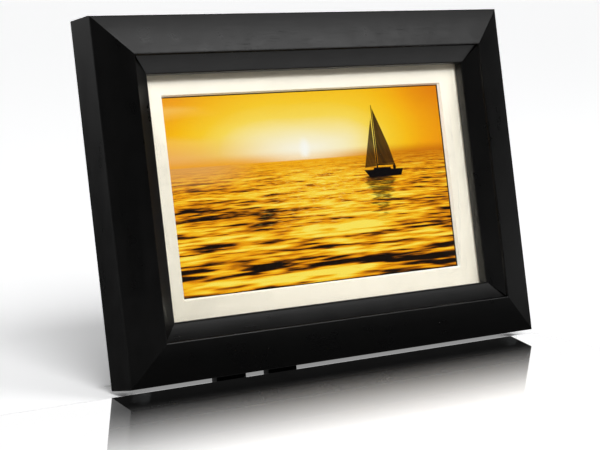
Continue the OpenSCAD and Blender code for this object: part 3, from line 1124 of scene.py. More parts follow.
@dataclass(frozen=True)
class SeaPicture(Finish):
    """The lit panel, showing a made-up evening sea with a small boat under sail.

    Distances are millimetres from the middle of the mat's window.

    Attributes:
        glow: how bright the panel is.
        half_width: half the width of what the panel shows.
        half_height: half the height of what the panel shows.
        horizon: height of the horizon.
        sun: place of the sun's glow.
    """

    glow: float = 1.03
    half_width: float = 76.25
    half_height: float = 42.15
    horizon: float = 12.2
    sun: tuple[float, float] = (-4.3, 17.0)

    def wire(self, graph: Graph, coordinates: Socket) -> Socket:
        """Wires the whole picture onto the panel as light.

        Args:
            graph: the material's graph.
            coordinates: the piece's own coordinates, in metres.

        Returns:
            The shader's output.
        """
        u, v = self.drawing(graph, coordinates)
        picture = self.sky(graph, u, v)
        sea = self.sea(graph, u, v)
        shore = v.rise(self.horizon - 0.35, self.horizon + 0.35)
        picture = graph.mix(shore, sea, picture)
        picture = self.boat(graph, u, v, picture)
        inside = u.size().rise(self.half_width + 0.12, self.half_width - 0.12)
        inside = inside * v.size().rise(self.half_height + 0.12, self.half_height - 0.12)
        picture = graph.mix(inside, "#0a0908", picture)
        film = graph.noise(coordinates, 6000.0, 2.0, 0.5)
        bounced = graph.term(graph.add("LightPath").outputs["Glossy Depth"]).least(1.0)
        picture = graph.mix(bounced * 0.8, picture, "#000000")
        return graph.surface(
            {
                "Base Color": "#040404",
                "Roughness": film.spread(0.3, 0.7, 0.32, 0.4),
                "Specular IOR Level": 0.08,
                "Emission Color": picture,
                "Emission Strength": self.glow,
            }
        )

    @staticmethod
    def drawing(graph: Graph, coordinates: Socket) -> tuple[Term, Term]:
        """Lays millimetres over the leaning panel, from the middle of the mat's window.

        Args:
            graph: the material's graph.
            coordinates: the panel's coordinates, in metres.

        Returns:
            How far right, and how far up, each spot is.
        """
        low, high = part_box("mat_board")
        middle = (low + high) / 2
        upright = TO_ROW.inverted()
        height = (upright @ middle).z
        turn = upright.to_euler()
        shift = upright.to_translation()
        node = graph.add(
            "Mapping",
            {
                "Vector": coordinates,
                "Location": (0.0, shift.y, shift.z - height),
                "Rotation": tuple(turn),
                "Scale": (1 / MM, 1 / MM, 1 / MM),
            },
        )
        right, _, up = graph.split(node.outputs[0])
        return right, up

    def sky(self, graph: Graph, u: Term, v: Term) -> Socket:
        """Paints the glow and the haze of the sky, and pale slanted streaks over its upper left
        that are a painted reflection of the glass.

        Args:
            graph: the material's graph.
            u: how far right each spot is.
            v: how far up each spot is.

        Returns:
            The sky's colour.
        """
        right = u - self.sun[0]
        up = v - self.sun[1]
        drift = graph.noise(graph.vector(u * 0.018, v * 0.06), 1.0, 3.0, 0.5) - 0.5
        across = right / right.size().rise(20.0, 70.0, 3.3, 1.9)
        away = (across * across + up * up * 1.5).reckon("SQRT") + drift * 7.0
        # the right side burns deeper than the left
        away = away + u.rise(14.0, 76.0) * 9.0
        glow = graph.ramp(
            away / 60.0,
            [
                (0.02, "#fff8e2"),
                (0.12, "#fef2c4"),
                (0.20, "#feea9c"),
                (0.30, "#fddc56"),
                (0.42, "#fdce2c"),
                (0.58, "#fdc014"),
                (0.76, "#f9a70a"),
                (1.0, "#e88404"),
            ],
        )
        # pale slanted streaks over the upper left sky: a painted reflection of the glass, drawn
        # into the picture
        slant = graph.stretch(graph.vector(u, v), (0.008, 0.075, 1.0), (0, 0, math.radians(-22)))
        bands = graph.noise(slant, 1.0, 2.0, 0.45).rise(0.44, 0.62)
        left = u.rise(-6.0, -70.0)
        glow = graph.mix(bands * left * v.rise(14.0, 30.0) * 0.55, glow, "#fed878")
        warm = u.rise(-20.0, -74.0) * v.rise(26.0, 42.0) * (bands * -0.7 + 1.0)
        glow = graph.mix(warm * 0.35, glow, "#f2a02c")
        glow = graph.mix(left * v.rise(27.0, 12.0) * 0.75, glow, "#eeb077")
        low = v.rise(self.horizon + 5.0, self.horizon - 0.5)
        deep = graph.mix(u.rise(-5.0, 66.0), "#f3a41c", "#cb6b01")
        glow = graph.mix(low * right.size().rise(2.0, 36.0, 0.35, 0.9), glow, deep)
        core = (right * right + up * up * 0.45).reckon("SQRT").rise(4.2, 0.6)
        return graph.mix(core * v.rise(self.horizon, self.horizon + 2.0), glow, "#fffdf4")

    def sea(self, graph: Graph, u: Term, v: Term) -> Socket:
        """Paints the water: a bright path under the sun, and ripples that grow nearer.

        Args:
            graph: the material's graph.
            u: how far right each spot is.
            v: how far up each spot is.

        Returns:
            The water's colour.
        """
        depth = (v * -1.0 + self.horizon).most(0.0)
        far = depth + 3.2
        row = far.reckon("LOGARITHM", math.e)
        side = (u - self.sun[0] - 6.0).size()
        path = side.rise(far * 0.35 + 40.0, 2.0)
        swell = graph.noise(graph.vector(u / far * 0.7, row * 12.5, 3.3), 1.0, 3.0, 0.5)
        chop = graph.noise(graph.vector(u / far * 2.3, row * 30.0, 7.1), 1.0, 2.0, 0.5)
        lift = swell * 0.6 + chop * 0.4 - 0.5
        tone = lift * depth.spread(0.0, 46.0, 1.9, 5.6) + 0.43
        tone = tone - path * depth.rise(0.0, 30.0, 0.10, 0.17)
        tone = tone + depth.rise(16.0, 52.0) * 0.09 + side.rise(26.0, 80.0) * 0.06
        water = graph.ramp(
            tone,
            [
                (0.0, "#ffe65a"),
                (0.18, "#fdd030"),
                (0.34, "#f8b416"),
                (0.50, "#e79207"),
                (0.63, "#b46805"),
                (0.75, "#5c3003"),
                (0.88, "#150a03"),
            ],
        )
        near = depth.rise(9.0, 0.0)
        band = graph.mix(u.rise(-5.0, 70.0), "#f4a812", "#c56803")
        water = graph.mix(near * 0.65, water, band)
        haze = (v - u * -0.26 + 17.4).rise(-1.5, 1.0) * u.rise(-26.0, -60.0) * depth.rise(12.0, 0.0)
        water = graph.mix(haze * 0.62, water, "#dda263")
        fine = graph.vector(u / far * 6.0, row * 50.0, 4.0)
        spark = graph.noise(fine, 1.0, 2.0).rise(0.56, 0.68)
        spark = spark * path * depth.rise(1.0, 8.0) * depth.rise(40.0, 14.0)
        return graph.mix(spark * 0.75, water, "#ffe673")

    def boat(self, graph: Graph, u: Term, v: Term, picture: Socket) -> Socket:
        """Paints the boat and its broken reflection over the sea and the sky.

        Args:
            graph: the material's graph.
            u: how far right each spot is.
            v: how far up each spot is.
            picture: the sea and the sky.

        Returns:
            The finished picture.
        """
        depth = (v * -1.0 + 2.4).most(0.0)
        wobble = graph.noise(graph.vector(u * 0.05, v * 0.9), 1.0, 2.0) - 0.5
        centre = (u - 37.0 + wobble * (depth * 1.3 + 4.0)).size()
        gaps = graph.noise(graph.vector(u * 0.12, v * 1.25, 9.0), 1.0, 3.0, 0.6).rise(0.36, 0.56)
        reach = depth.spread(0.0, 18.0, 8.6, 1.6)
        dark = centre.rise(reach + 1.2, reach - 1.2) * v.rise(3.0, 2.2) * v.rise(-18.5, -12.0)
        strength = gaps * depth.spread(0.0, 18.0, 0.55, 0.9) + depth.spread(0.0, 12.0, 0.35, 0.0)
        dark = dark * strength
        picture = graph.mix(dark, picture, "#1a0d03")
        jib = self.inside(u, v, [(34.9, 29.0), (28.6, 6.4), (35.3, 6.8)], 0.3)
        weave = graph.noise(graph.vector(u * 0.5 + v * 0.2, v * 0.08), 1.0, 2.0)
        cloth = graph.mix(weave.rise(0.35, 0.65), "#261604", "#4a2c08")
        picture = graph.mix(jib * 0.92, picture, cloth)
        main = self.inside(u, v, [(36.2, 33.4), (36.4, 7.6), (46.2, 7.6), (43.6, 16.0)], 0.3)
        picture = graph.mix(main * 0.97, picture, cloth)
        mast = self.inside(u, v, [(35.6, 34.6), (35.35, 5.0), (36.25, 5.0), (36.0, 34.6)], 0.2)
        hull = self.inside(u, v, [(28.0, 5.4), (31.0, 1.9), (49.4, 1.9), (50.8, 5.0)], 0.35)
        boom = self.inside(u, v, [(35.4, 7.7), (35.4, 7.1), (46.4, 6.9), (46.4, 7.5)], 0.2)
        cabin = self.inside(u, v, [(33.8, 6.2), (33.0, 4.8), (44.0, 4.8), (43.4, 6.0)], 0.4)
        crew = (u - 45.8) * (u - 45.8) * 0.8 + (v - 5.8) * (v - 5.8) * 0.35
        dark = mast.most(hull).most(cabin).most(boom).most(crew.rise(0.9, 0.4))
        return graph.mix(dark, picture, "#070406")

    @staticmethod
    def inside(u: Term, v: Term, corners: Sequence[tuple[float, float]], soft: float) -> Term:
        """Masks a flat shape with straight sides.

        Args:
            u: how far right each spot is.
            v: how far up each spot is.
            corners: the shape's corners, anticlockwise.
            soft: width of the soft edge.

        Returns:
            A mask that is 1 inside the shape.
        """
        depth: Optional[Term] = None
        for (x0, y0), (x1, y1) in zip(corners, list(corners[1:]) + [corners[0]]):
            length = math.hypot(x1 - x0, y1 - y0)
            across, up = -(y1 - y0) / length, (x1 - x0) / length
            side = u * across + v * up - (x0 * across + y0 * up)
            depth = side if depth is None else depth.least(side)
        return depth.rise(-soft / 2, soft / 2)


FINISHES: dict[str, Finish] = {
    "black_wood": Lacquer("black lacquer across"),
    "clear_glass": Pane("clear glass"),
    "mat_card": Sheet("mat card", "#f9f1e0", "#e6dbc5", core="#fdfaf0", fibre=0.45, depth=0.04),
    "picture": SeaPicture("lit panel"),
    "bright_steel": Metal("bright steel"),
    "white_film": Moulded("white film", "#e6e8ea", "#ffffff", 0.6, 0.01, (0.3, 0.4), 0.0, 0.02),
    "clear_plastic": Moulded(
        "clear acrylic", "#e9f3f4", "#ffffff", 0.8, 0.01, (0.08, 0.15), 0.1, 0.02, through=0.85
    ),
    "led_white": Moulded(
        "led white", "#f2f0d4", "#ffffff", 0.5, 0.01, (0.3, 0.4), 0.0, 0.0, glow=0.6
    ),
    "white_plastic": Moulded(
        "white plastic", "#dddcd6", "#f2f2ee", 0.4, 0.02, (0.4, 0.5), 0.1, 0.08
    ),
    "fibre_board": Sheet("brown fibre board", "#6d4f33", "#3f2c1c", fibre=0.9, depth=0.12),
    "ribbon": Ribbon("amber ribbon"),
    "board_green": CircuitBoard("circuit board"),
    "ivory_plastic": Moulded(
        "ivory plastic", "#d9d0b8", "#efe9d8", 0.4, 0.02, (0.35, 0.5), 0.1, 0.08
    ),
    "chip_black": Moulded("chip resin", "#1a1a1b", "#4a4a4b", 0.18, 0.02, (0.5, 0.65), 0.1, 0.08),
    "capacitor_sleeve": Moulded("sleeve", "#1c1f3a", "#55586c", 0.5, 0.01, (0.25, 0.35), 0.3, 0.06),
    "zinc_screw": Metal("zinc plate", "#b4b3a8", "#8f8d7c", rough=(0.25, 0.4)),
    "magnet": Metal("nickel plate", "#9a9a98", "#6d6d6b", rough=(0.25, 0.45)),
    "cone_paper": Sheet("cone paper", "#24221f", "#3a3733", fibre=0.7, depth=0.08),
    "lead_red": Moulded("red sleeve", "#8e1712", "#c2544e", 0.4, 0.01, (0.35, 0.45), 0.1, 0.05),
    "housing_plastic": Moulded(
        "housing plastic", "#161617", "#3c3c3d", 0.42, 0.045, (0.44, 0.56), 0.3, 0.1
    ),
    "black_screw": Metal("black oxide", "#2a2a2c", "#18181a", rough=(0.3, 0.45)),
    "bracket_paint": Moulded(
        "bracket paint", "#101011", "#6b6b6d", 0.5, 0.03, (0.38, 0.5), 0.6, 0.08, coat=0.2
    ),
    "clear_rubber": Moulded(
        "clear rubber", "#e8edee", "#f5f7f7", 0.5, 0.02, (0.12, 0.22), 0.0, 0.0, alpha=0.04
    ),
    "leg_plastic": Moulded("leg plastic", "#131314", "#3f3f40", 0.5, 0.05, (0.4, 0.55), 0.4, 0.1),
    "black_rubber": Moulded("black rubber", "#0e0e0e", "#2b2b2b", 0.3, 0.04, (0.7, 0.85), 0.2, 0.2),
    "key_plastic": Moulded("key plastic", "#2e2e31", "#5a5a5e", 0.3, 0.02, (0.28, 0.4), 0.4, 0.05),
}
UPRIGHT_LACQUER = Lacquer("black lacquer upright", grain=Grain.UPRIGHT)


# --------------------------------------------------------------------------- the sub-assemblies


@dataclass
class Moulding:
    """The four mitred wooden rails.

    Attributes:
        width: outer width of the frame.
        height: outer height of the frame.
        section: the rail's section, as depth behind the front and distance from the outer edge.
    """

    width: float = 224.0
    height: float = 153.0
    section: tuple[tuple[float, float], ...] = (
        (0.0, 0.0),
        (-14.9, 0.0),
        (-15.4, 0.4),
        (-19.5, 16.2),
        (-19.7, 16.7),
        (-19.6, 17.0),
        (-18.5, 17.2),
        (-15.0, 24.4),
        (-14.6, 24.9),
        (-14.1, 25.0),
        (-9.9, 25.0),
        (-9.9, 19.0),
        (0.0, 19.0),
    )

    def build(self) -> None:
        """Builds each rail, mitres it, cuts its nail grooves and puts it in place."""
        across, upright = FINISHES["black_wood"], UPRIGHT_LACQUER
        middle = self.height / 2
        side = self.width / 2
        rails = (
            ("rail_bottom", self.width, at(0, 0, 0), across),
            ("rail_top", self.width, at(0, 0, self.height) @ axis_turn(180, "Y"), across),
            ("rail_left", self.height, at(-side, 0, middle) @ axis_turn(90, "Y"), upright),
            ("rail_right", self.height, at(side, 0, middle) @ axis_turn(-90, "Y"), upright),
        )
        for node, length, where, finish in rails:
            rail = self.rail("wood_" + node, length)
            self.groove(rail, where)
            place(rail, where, smooth=40.0)
            deliver(rail, "frame_body", "black_wood", node, finish=finish)

    def rail(self, name: str, length: float) -> Piece:
        """Makes one rail along X, with its outer edge down.

        Args:
            name: the piece's name.
            length: the rail's outer length.

        Returns:
            The mitred rail.
        """
        half = length / 2
        rail = bar(name, [(-half, y, z) for y, z in self.section], (length, 0, 0))
        with editing(rail):
            pick_edges(rail, lambda a, b: abs(a.x - b.x) > half, sharper_than=12.0)
            bpy.ops.mesh.bevel(offset=0.34, segments=3, affect="EDGES")
            for end in (-1, 1):
                take_all()
                bpy.ops.mesh.bisect(
                    plane_co=(end * half, 0, 0),
                    plane_no=(end, 0, 1),
                    use_fill=True,
                    clear_outer=True,
                )
            face_outwards()
        return rail

    def groove(self, rail: Piece, where: Matrix) -> None:
        """Cuts the grooves that the joining nails sit in.

        Args:
            rail: the rail, before it is put in place.
            where: the rail's place in the drawing.
        """
        nails = copy_of("corner_nails", "nail_cutter")
        nails.data.transform(where.inverted())
        carve(rail, nails)


@dataclass
class RearHousing:
    """The black electronics housing and its six screws.

    Attributes:
        half_width: half the width of the housing's box.
        half_height: half the height of the housing's box.
        depth: how far the box stands behind the wood.
        middle: height of the box's centre.
        rounding: radius of the box's outer back edge.
        screw_x: distance of each screw from the middle.
        screw_z: heights of the screws.
        flange: thickness of the flange under the screws' heads.
        corner: reach of the box's rounded corners.
        lip: how far past the box the flange's outer edges lie, sideways and up.
        hole: radius within which an edge belongs to a screw's hole.
        near: how close counts as on a face.
    """

    half_width: float = 91.0
    half_height: float = 56.5
    depth: float = 17.0
    middle: float = 76.5
    rounding: float = 1.8
    screw_x: float = 97.0
    screw_z: tuple[float, ...] = (30.0, 76.5, 123.0)
    flange: float = 2.0
    corner: float = 6.1
    lip: tuple[float, float] = (4.5, 3.5)
    hole: float = 2.0
    near: float = 0.02

    def build(self) -> None:
        """Builds the housing and its screws."""
        shell = copy_of("rear_housing", "housing_shell")
        with editing(shell):
            pick_edges(shell, self.on_back_rim)
            bpy.ops.mesh.bevel(
                offset=self.rounding, segments=5, affect="EDGES", loop_slide=False
            )
            pick_edges(shell, self.on_flange_rim)
            bpy.ops.mesh.bevel(offset=0.5, segments=3, affect="EDGES")
        place(shell)
        deliver(shell, "frame_body", "housing_plastic", "rear_housing")
        spots = [(s * self.screw_x, z) for s in (-1, 1) for z in self.screw_z]
        screws = screw_set(
            "housing_screw_set", spots, self.flange, head=2.8, rise=1.3, shank=1.3, length=8.5
        )
        deliver(screws, "frame_body", "zinc_screw", "housing_screws")

    def on_back_rim(self, a: Vector, b: Vector) -> bool:
        """Says whether an edge runs along the outside of the box's back face.

        Args:
            a: one end of the edge.
            b: its other end.

        Returns:
            Whether it does.
        """
        ends = [(p.y, abs(p.x) - self.half_width, self.above(p)) for p in (a, b)]
        return all(
            abs(y - self.depth) < self.near
            and (min(side, up) > -self.corner or max(side, up) > -self.near)
            for y, side, up in ends
        )

    def on_flange_rim(self, a: Vector, b: Vector) -> bool:
        """Says whether an edge runs along the outside of the flange's back face.

        Args:
            a: one end of the edge.
            b: its other end.

        Returns:
            Whether it does.
        """
        side, up = self.lip
        return all(
            abs(p.y - self.flange) < self.near
            and (abs(p.x) > self.half_width + side or self.above(p) > up)
            for p in (a, b)
        ) and not self.near_screw(a)

    def above(self, spot: Vector) -> float:
        """Returns how far past the box's top or bottom edge a spot lies."""
        return abs(spot.z - self.middle) - self.half_height

    def near_screw(self, spot: Vector) -> bool:
        """Says whether a spot lies on the edge of a screw's hole."""
        across = abs(spot.x) - self.screw_x
        return any(math.hypot(across, spot.z - z) < self.hole for z in self.screw_z)


def screw_set(
    name: str,
    spots: Sequence[tuple[float, float]],
    seat: float,
    head: float,
    rise: float,
    shank: float,
    length: float,
) -> Piece:
    """Makes one cross-headed screw and copies it to every spot.

    Args:
        name: the set's name.
        spots: how far right and how far up each screw is.
        seat: depth of the face under the heads.
        head: radius of a head.
        rise: height of a head.
        shank: radius of a shank.
        length: length of a shank.

    Returns:
        All the screws as one piece, in place.
    """
    dome = [(head, 0.0), (head, rise * 0.35)]
    for step in range(1, 8):
        turn = step / 8 * math.pi / 2
        dome.append((head * math.cos(turn) * 0.98, rise * (0.35 + 0.65 * math.sin(turn))))
    profile = [(0, -length), (shank * 0.35, -length + 0.2), (shank, -length + 1.4), (shank, 0.0)]
    first = turned(name, profile + dome + [(0, rise)], steps=32)
    for angle in (0, 90):
        slot = begin("slot", bpy.ops.mesh.primitive_cube_add, size=1)
        with editing(slot):
            take_all()
            bpy.ops.transform.resize(value=(head * 1.15, 0.5, 1.6))
            pick_edges(slot, lambda a, b: a.z < 0 and b.z < 0 and abs(a.x) > 0.4 and abs(b.x) > 0.4)
            bpy.ops.mesh.bevel(offset=0.2, segments=2, affect="EDGES")
        slot.matrix_world = at(0, 0, rise + 0.2) @ axis_turn(angle, "Z")
        carve(first, slot)
    screws = [first] + [copied(first, name + "_copy") for _ in spots[1:]]
    for number, (screw, (x, z)) in enumerate(zip(screws, spots)):
        place(screw, at(x, seat, z) @ axis_turn(-90, "X") @ axis_turn(17 * number + 8, "Z"))
    return joined(screws)


@dataclass
class Stand:
    """The hinge, the fold-out forked leg, its soft shoes and the clear bumpers.

    Attributes:
        pin: depth and height of the hinge pin.
        pin_radius: radius of the pin.
        pin_half: half the pin's length without its heads.
        bracket_seat: depth of the bracket's outer face.
        bracket_spots: how far right and how far up each bracket screw is.
    """

    pin: tuple[float, float] = (23.0, 112.0)
    pin_radius: float = 1.5
    pin_half: float = 22.5
    bracket_seat: float = 18.2
    bracket_spots: tuple[tuple[float, float], ...] = (
        (-31.0, 107.5),
        (-31.0, 116.5),
        (31.0, 107.5),
        (31.0, 116.5),
    )

    def build(self) -> None:
        """Builds the stand, piece by piece."""
        self.eased("hinge_bracket", "hinge_plate", "frame_body", "bracket_paint", 0.25, 2)
        self.eased("stand_leg", "fold_out_leg", "leg", "leg_plastic", 0.55, 3)
        self.eased("leg_tips", "leg_shoes", "leg", "black_rubber", 0.5, 3)
        self.eased("bumper_left", "clear_bumper_left", "frame_body", "clear_rubber", 0.35, 3)
        self.eased("bumper_right", "clear_bumper_right", "frame_body", "clear_rubber", 0.35, 3)
        spots, seat = self.bracket_spots, self.bracket_seat
        screws = screw_set(
            "bracket_screw_set", spots, seat, head=2.5, rise=1.2, shank=1.2, length=6.5
        )
        deliver(screws, "frame_body", "black_screw", "bracket_screws")
        deliver(self.hinge_pin(), "frame_body", "bright_steel", "hinge_pin")

    @staticmethod
    def eased(
        node: str, name: str, body: str, slot: str, width: float, segments: int
    ) -> Piece:
        """Copies a CAD node, rounds its edges and delivers it.

        Args:
            node: the CAD node.
            name: the new piece's name.
            body: the body that it rides on.
            slot: its material slot.
            width: width of the rounding.
            segments: facets in the rounding.

        Returns:
            The delivered piece.
        """
        piece = copy_of(node, name)
        soften(piece, width, segments)
        place(piece)
        return deliver(piece, body, slot, node)

    def hinge_pin(self) -> Piece:
        """Turns the hinge pin with a domed head at each end and returns it in place.

        Returns:
            The pin, in place.
        """
        half, radius = self.pin_half, self.pin_radius
        head = [(2.35, 0.0), (2.6, 0.25), (2.6, 0.8), (2.2, 1.2), (1.2, 1.4)]
        profile = [(0.0, -half - 1.4)]
        profile += [(r, -half - h) for r, h in reversed(head)]
        profile += [(radius, -half), (radius, half)]
        profile += [(r, half + h) for r, h in head] + [(0.0, half + 1.4)]
        piece = turned("hinge_pin_turned", profile)
        place(piece, at(0, *self.pin) @ axis_turn(90, "Y"))
        return piece


class Mark(Enum):
    """The plain raised mark on a key."""

    RING = 0
    ARROW = 1
    DOT = 2


@dataclass
class KeyPad:
    """Seven round keys and the power slider.

    Attributes:
        centre: how far right and how far up the pad's centre is.
        pitch: spacing of the arrow keys from the centre.
        lift: how far up the two small keys are.
        middle, arrow, small: radii of the three kinds of key.
        top: depth of the keys' outer faces.
        collar: depth of each side of the collar that keeps a key in.
        stem: depth of the stem's end, over the board.
    """

    centre: tuple[float, float] = (-62.0, 92.0)
    pitch: float = 12.0
    lift: float = 17.0
    middle: float = 4.6
    arrow: float = 3.9
    small: float = 3.2
    top: float = 18.2
    collar: tuple[float, float] = (13.6, 14.6)
    stem: float = 7.4

    def build(self) -> None:
        """Builds each key with its mark, and the slider."""
        x, z = self.centre
        keys = (
            ("middle", x, z, self.middle, Mark.RING, 0),
            ("up", x, z + self.pitch, self.arrow, Mark.ARROW, 0),
            ("down", x, z - self.pitch, self.arrow, Mark.ARROW, 180),
            ("left", x - self.pitch, z, self.arrow, Mark.ARROW, -90),
            ("right", x + self.pitch, z, self.arrow, Mark.ARROW, 90),
            ("menu", x - self.pitch, z + self.lift, self.small, Mark.DOT, 0),
            ("back", x + self.pitch, z + self.lift, self.small, Mark.RING, 0),
        )
        for name, right, up, radius, mark, turn in keys:
            key = self.key("round_key_" + name, radius, mark)
            place(key, at(right, self.top, up) @ axis_turn(turn, "Y") @ axis_turn(-90, "X"))
            deliver(key, f"key_{name}_body", "key_plastic", "key_" + name)
        Stand.eased("power_slider", "slider_knob", "power_slide", "key_plastic", 0.25, 2)

    def key(self, name: str, radius: float, mark: Mark) -> Piece:
        """Turns one key on Z, with a dished top at height 0.

        Args:
            name: the key's name.
            radius: the cap's radius.
            mark: the mark on its top.

        Returns:
            The key, not yet in place.
        """
        near, far = (depth - self.top for depth in self.collar)
        profile = [(0, self.stem - self.top), (2.0, self.stem - self.top), (2.0, near)]
        profile += [(radius + 1.1, near), (radius + 1.1, far), (radius, far)]
        profile += [(radius, -0.5), (radius - 0.08, -0.22), (radius - 0.28, -0.04)]
        profile += [(radius - 0.55, 0.0), (radius - 0.95, -0.12), (radius * 0.5, -0.36), (0, -0.42)]
        key = turned(name, profile, steps=56)
        size = radius * 0.34
        if mark is Mark.ARROW:
            corners = [(-size, -size * 0.6, -0.7), (size, -size * 0.6, -0.7), (0, size, -0.7)]
            raised = bar("mark", corners, (0, 0, 0.5))
        elif mark is Mark.RING:
            ring = [(0, -0.7), (size, -0.7), (size, -0.22), (0, -0.22)]
            raised = turned("mark", ring, steps=32)
            hole = [(0, -1), (size * 0.62, -1), (size * 0.62, 1), (0, 1)]
            carve(raised, turned("hole", hole, steps=32))
        else:
            dot = [(0, -0.7), (size * 0.6, -0.7), (size * 0.5, -0.2), (0, -0.16)]
            raised = turned("mark", dot, steps=24)
        modify(key, "BOOLEAN", operation="UNION", object=raised, solver="EXACT")
        bpy.data.objects.remove(raised)
        return key


@dataclass
class Inside:
    """The CAD nodes that keep their shapes, each dressed with the finish of its slot.

    Attributes:
        replaced: the nodes that a modelled piece stands for.
    """

    replaced: Sequence[str]

    def build(self) -> None:
        """Dresses every CAD node that still shows."""
        for row in frame["record"]["subparts"]:
            name = row["node"]
            if name in self.replaced:
                continue
            node = frame["nodes"][name]
            material = FINISHES[row["material_slot"]].material()
            for slot in node.material_slots:
                slot.material = material
            log.info("%s: dressed as %s", name, material.name)


# --------------------------------------------------------------------------- the studio


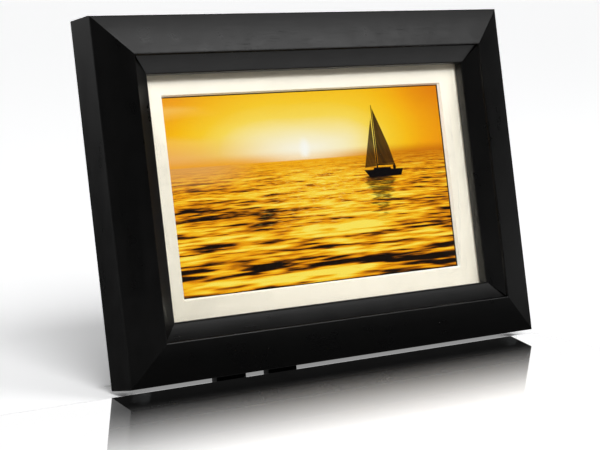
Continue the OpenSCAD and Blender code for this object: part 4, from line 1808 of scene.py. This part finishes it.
@dataclass
class Studio:
    """The white sweep, the lamps and the camera.

    Attributes:
        spot: the camera's place.
        heading: how far the camera is turned from straight ahead, in degrees.
        dip: how far it looks down, in degrees.
        lens: its focal length on a 36 mm sensor.
        gain: how much brighter the table shows than it shines on the frame.
        room: how bright the room is for what it lights.
    """

    spot: tuple[float, float, float] = (-0.52282, -0.68805, 0.17261)
    heading: float = 37.307
    dip: float = 7.490
    lens: float = 116.31
    gain: float = 1.75
    room: float = 0.32

    def build(self) -> None:
        """Sets up the floor, the surroundings, the lamps and the camera."""
        bpy.context.scene.view_settings.view_transform = "Standard"
        self.floor()
        self.surroundings()
        self.lamps()
        self.camera()

    def floor(self) -> None:
        """Makes a glossy white table whose mirror image fades towards the viewer."""
        floor = begin("white_sweep", bpy.ops.mesh.primitive_plane_add, size=30)
        material = bpy.data.materials.new("glossy white sweep")
        graph = blank(material)
        x, y, _ = graph.split(graph.add("TexCoord").outputs["Object"])
        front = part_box("rail_bottom")[0].y
        share = ((y - front).spread(-0.0895, -0.004, 0.0, 1.0) * (math.pi / 2)).reckon("SINE")
        heel = (TO_ROW @ Vector((0, 0, 0))).y
        share = share * x.rise(0.128, 0.118) * x.rise(-0.205, -0.188)
        # full mirror ahead of the wood's heel, and under it a mirror greyed to 0.28 as painted
        # shade of the table under the frame
        ahead = y.rise(heel - 0.0045, heel - 0.0062)
        under = y.rise(heel + 0.02, heel + 0.014) * x.size().rise(0.111, 0.102)
        share = share * ahead.most(under)
        # painted shade: the mirror's colour drops from 1 to 0.28 under the frame
        polish = ahead * 0.72 + 0.28
        path = graph.add("LightPath")
        grain = graph.noise(graph.add("TexCoord").outputs["Object"], 900.0, 2.0)
        direct = graph.term(path.outputs["Is Camera Ray"]).spread(0.0, 1.0, 0.8, self.gain)
        tone = direct * grain.spread(0.3, 0.7, 0.985, 1.0)
        paper = graph.vector(tone * 0.993, tone * 0.995, tone)
        white = graph.add("BsdfDiffuse", {"Color": paper}).outputs[0]
        mirror_tint_with_shade = graph.vector(polish, polish, polish)
        mirror = graph.add("BsdfGlossy", {"Color": mirror_tint_with_shade, "Roughness": 0.015}).outputs[0]
        seen = graph.blend(share, white, mirror)
        bright = y.rise(front - 0.06, front - 0.13) * y.rise(front - 0.9, front - 0.4)
        bright = bright * 0.9 + 0.04
        # painted reflection: for glossy rays the table is swapped for an emission that is dim near
        # the frame and bright only some way in front, which polished faces mirror
        glow = graph.add("Emission", {"Color": graph.vector(bright, bright, bright)}).outputs[0]
        both = graph.blend(path.outputs["Is Glossy Ray"], seen, glow)
        graph.add("OutputMaterial", {"Surface": both})
        floor.data.materials.append(material)

    def surroundings(self) -> None:
        """Makes a white room that is dim in front, where polished faces would mirror it."""
        world = bpy.data.worlds.new("white room")
        bpy.context.scene.world = world
        graph = blank(world)
        across, ahead, _ = graph.split(graph.add("TexCoord").outputs["Generated"])
        behind = ahead.rise(0.04, 0.3)
        left = across.rise(0.0, -0.5)
        mirrored = behind.most(left * 0.06 + 0.022)
        path = graph.add("LightPath")
        seen = graph.term(path.outputs["Is Camera Ray"])
        diffuse = graph.term(path.outputs["Is Diffuse Ray"])
        level = diffuse * self.room + (diffuse * -1.0 + 1.0) * mirrored
        level = seen + (seen * -1.0 + 1.0) * level
        light = graph.add("Background", {"Color": (1, 1, 1, 1), "Strength": level})
        graph.add("OutputWorld", {"Surface": light.outputs[0]})

    def lamps(self) -> None:
        """Hangs the key light, the softbox, the mat's spot and the fill behind the frame."""
        key = self.lamp("key_light", "SUN", way=(-0.29, -0.96, 0.76), reach=1.0, power=1.15)
        key.data.angle = math.radians(31)
        key.visible_glossy = False
        way = (0.497, -0.571, 0.653)
        box = self.lamp("right_softbox", "AREA", way=way, reach=1.6, power=3.8)
        box.data.shape = "RECTANGLE"
        box.data.size, box.data.size_y = 0.84, 0.42
        box.rotation_euler.rotate_axis("Z", math.radians(-33))
        spot = self.lamp("mat_light", "SPOT", way=(0.02, -0.80, 0.60), reach=0.85, power=13.2)
        spot.data.spot_size, spot.data.spot_blend = math.radians(47), 0.1
        spot.data.color = (0.95, 0.98, 1.06)
        spot.data.shadow_soft_size = 0.05
        spot.visible_glossy = False
        aim = Vector((0.079, 0.035, 0.340)) - spot.location
        spot.rotation_euler = aim.to_track_quat("-Z", "Y").to_euler()
        self.only_light(spot, [frame["nodes"]["mat_board"]])
        fill = self.lamp("rear_fill", "AREA", way=(0.30, 0.70, 0.65), reach=1.5, power=16.0)
        fill.data.shape = "RECTANGLE"
        fill.data.size, fill.data.size_y = 1.3, 0.5
        pieces = [piece for piece in bpy.data.objects if piece.type == "MESH"]
        self.only_light(fill, [piece for piece in pieces if piece.name != "white_sweep"])

    @staticmethod
    def only_light(lamp: Piece, pieces: Sequence[Piece]) -> None:
        """Keeps a lamp's light to some of the objects.

        Args:
            lamp: the lamp.
            pieces: what it lights.
        """
        lit = bpy.data.collections.new("lit by " + lamp.name)
        for piece in pieces:
            lit.objects.link(piece)
        lamp.light_linking.receiver_collection = lit

    @staticmethod
    def lamp(name: str, kind: str, way: Point, reach: float, power: float) -> Piece:
        """Hangs one lamp that points at the frame.

        Args:
            name: the lamp's name.
            kind: the lamp's type.
            way: the way from the frame to the lamp.
            reach: its distance, in metres.
            power: its strength.

        Returns:
            The lamp.
        """
        data = bpy.data.lights.new(name, kind)
        data.energy = power
        lamp = bpy.data.objects.new(name, data)
        bpy.context.scene.collection.objects.link(lamp)
        toward = Vector(way).normalized()
        lamp.location = Vector((0, 0, cad_high[2] / 2)) + toward * reach
        lamp.rotation_euler = toward.to_track_quat("Z", "Y").to_euler()
        return lamp

    def camera(self) -> None:
        """Sets the camera."""
        data = bpy.data.cameras.new("view")
        data.lens, data.sensor_width = self.lens, 36.0
        data.clip_start, data.clip_end = 0.01, 100.0
        camera = bpy.data.objects.new("view", data)
        bpy.context.scene.collection.objects.link(camera)
        camera.location = self.spot
        tilt = math.radians(90 - self.dip)
        camera.rotation_euler = (tilt, 0.0, -math.radians(self.heading))
        bpy.context.scene.camera = camera


def main() -> None:
    """Builds the sub-assemblies in order, then the studio around them."""
    logging.basicConfig(level=logging.INFO, format="%(message)s")
    Moulding().build()
    RearHousing().build()
    Stand().build()
    KeyPad().build()
    replaced = ["rail_" + side for side in ("top", "bottom", "left", "right")]
    replaced += ["key_" + key for key in ("middle", "up", "down", "left", "right", "menu", "back")]
    replaced += ["rear_housing", "housing_screws", "hinge_bracket", "bracket_screws", "hinge_pin"]
    replaced += ["stand_leg", "leg_tips", "bumper_left", "bumper_right", "power_slider"]
    Inside(replaced).build()
    Studio().build()
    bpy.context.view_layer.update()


if __name__ == "__main__":
    main()
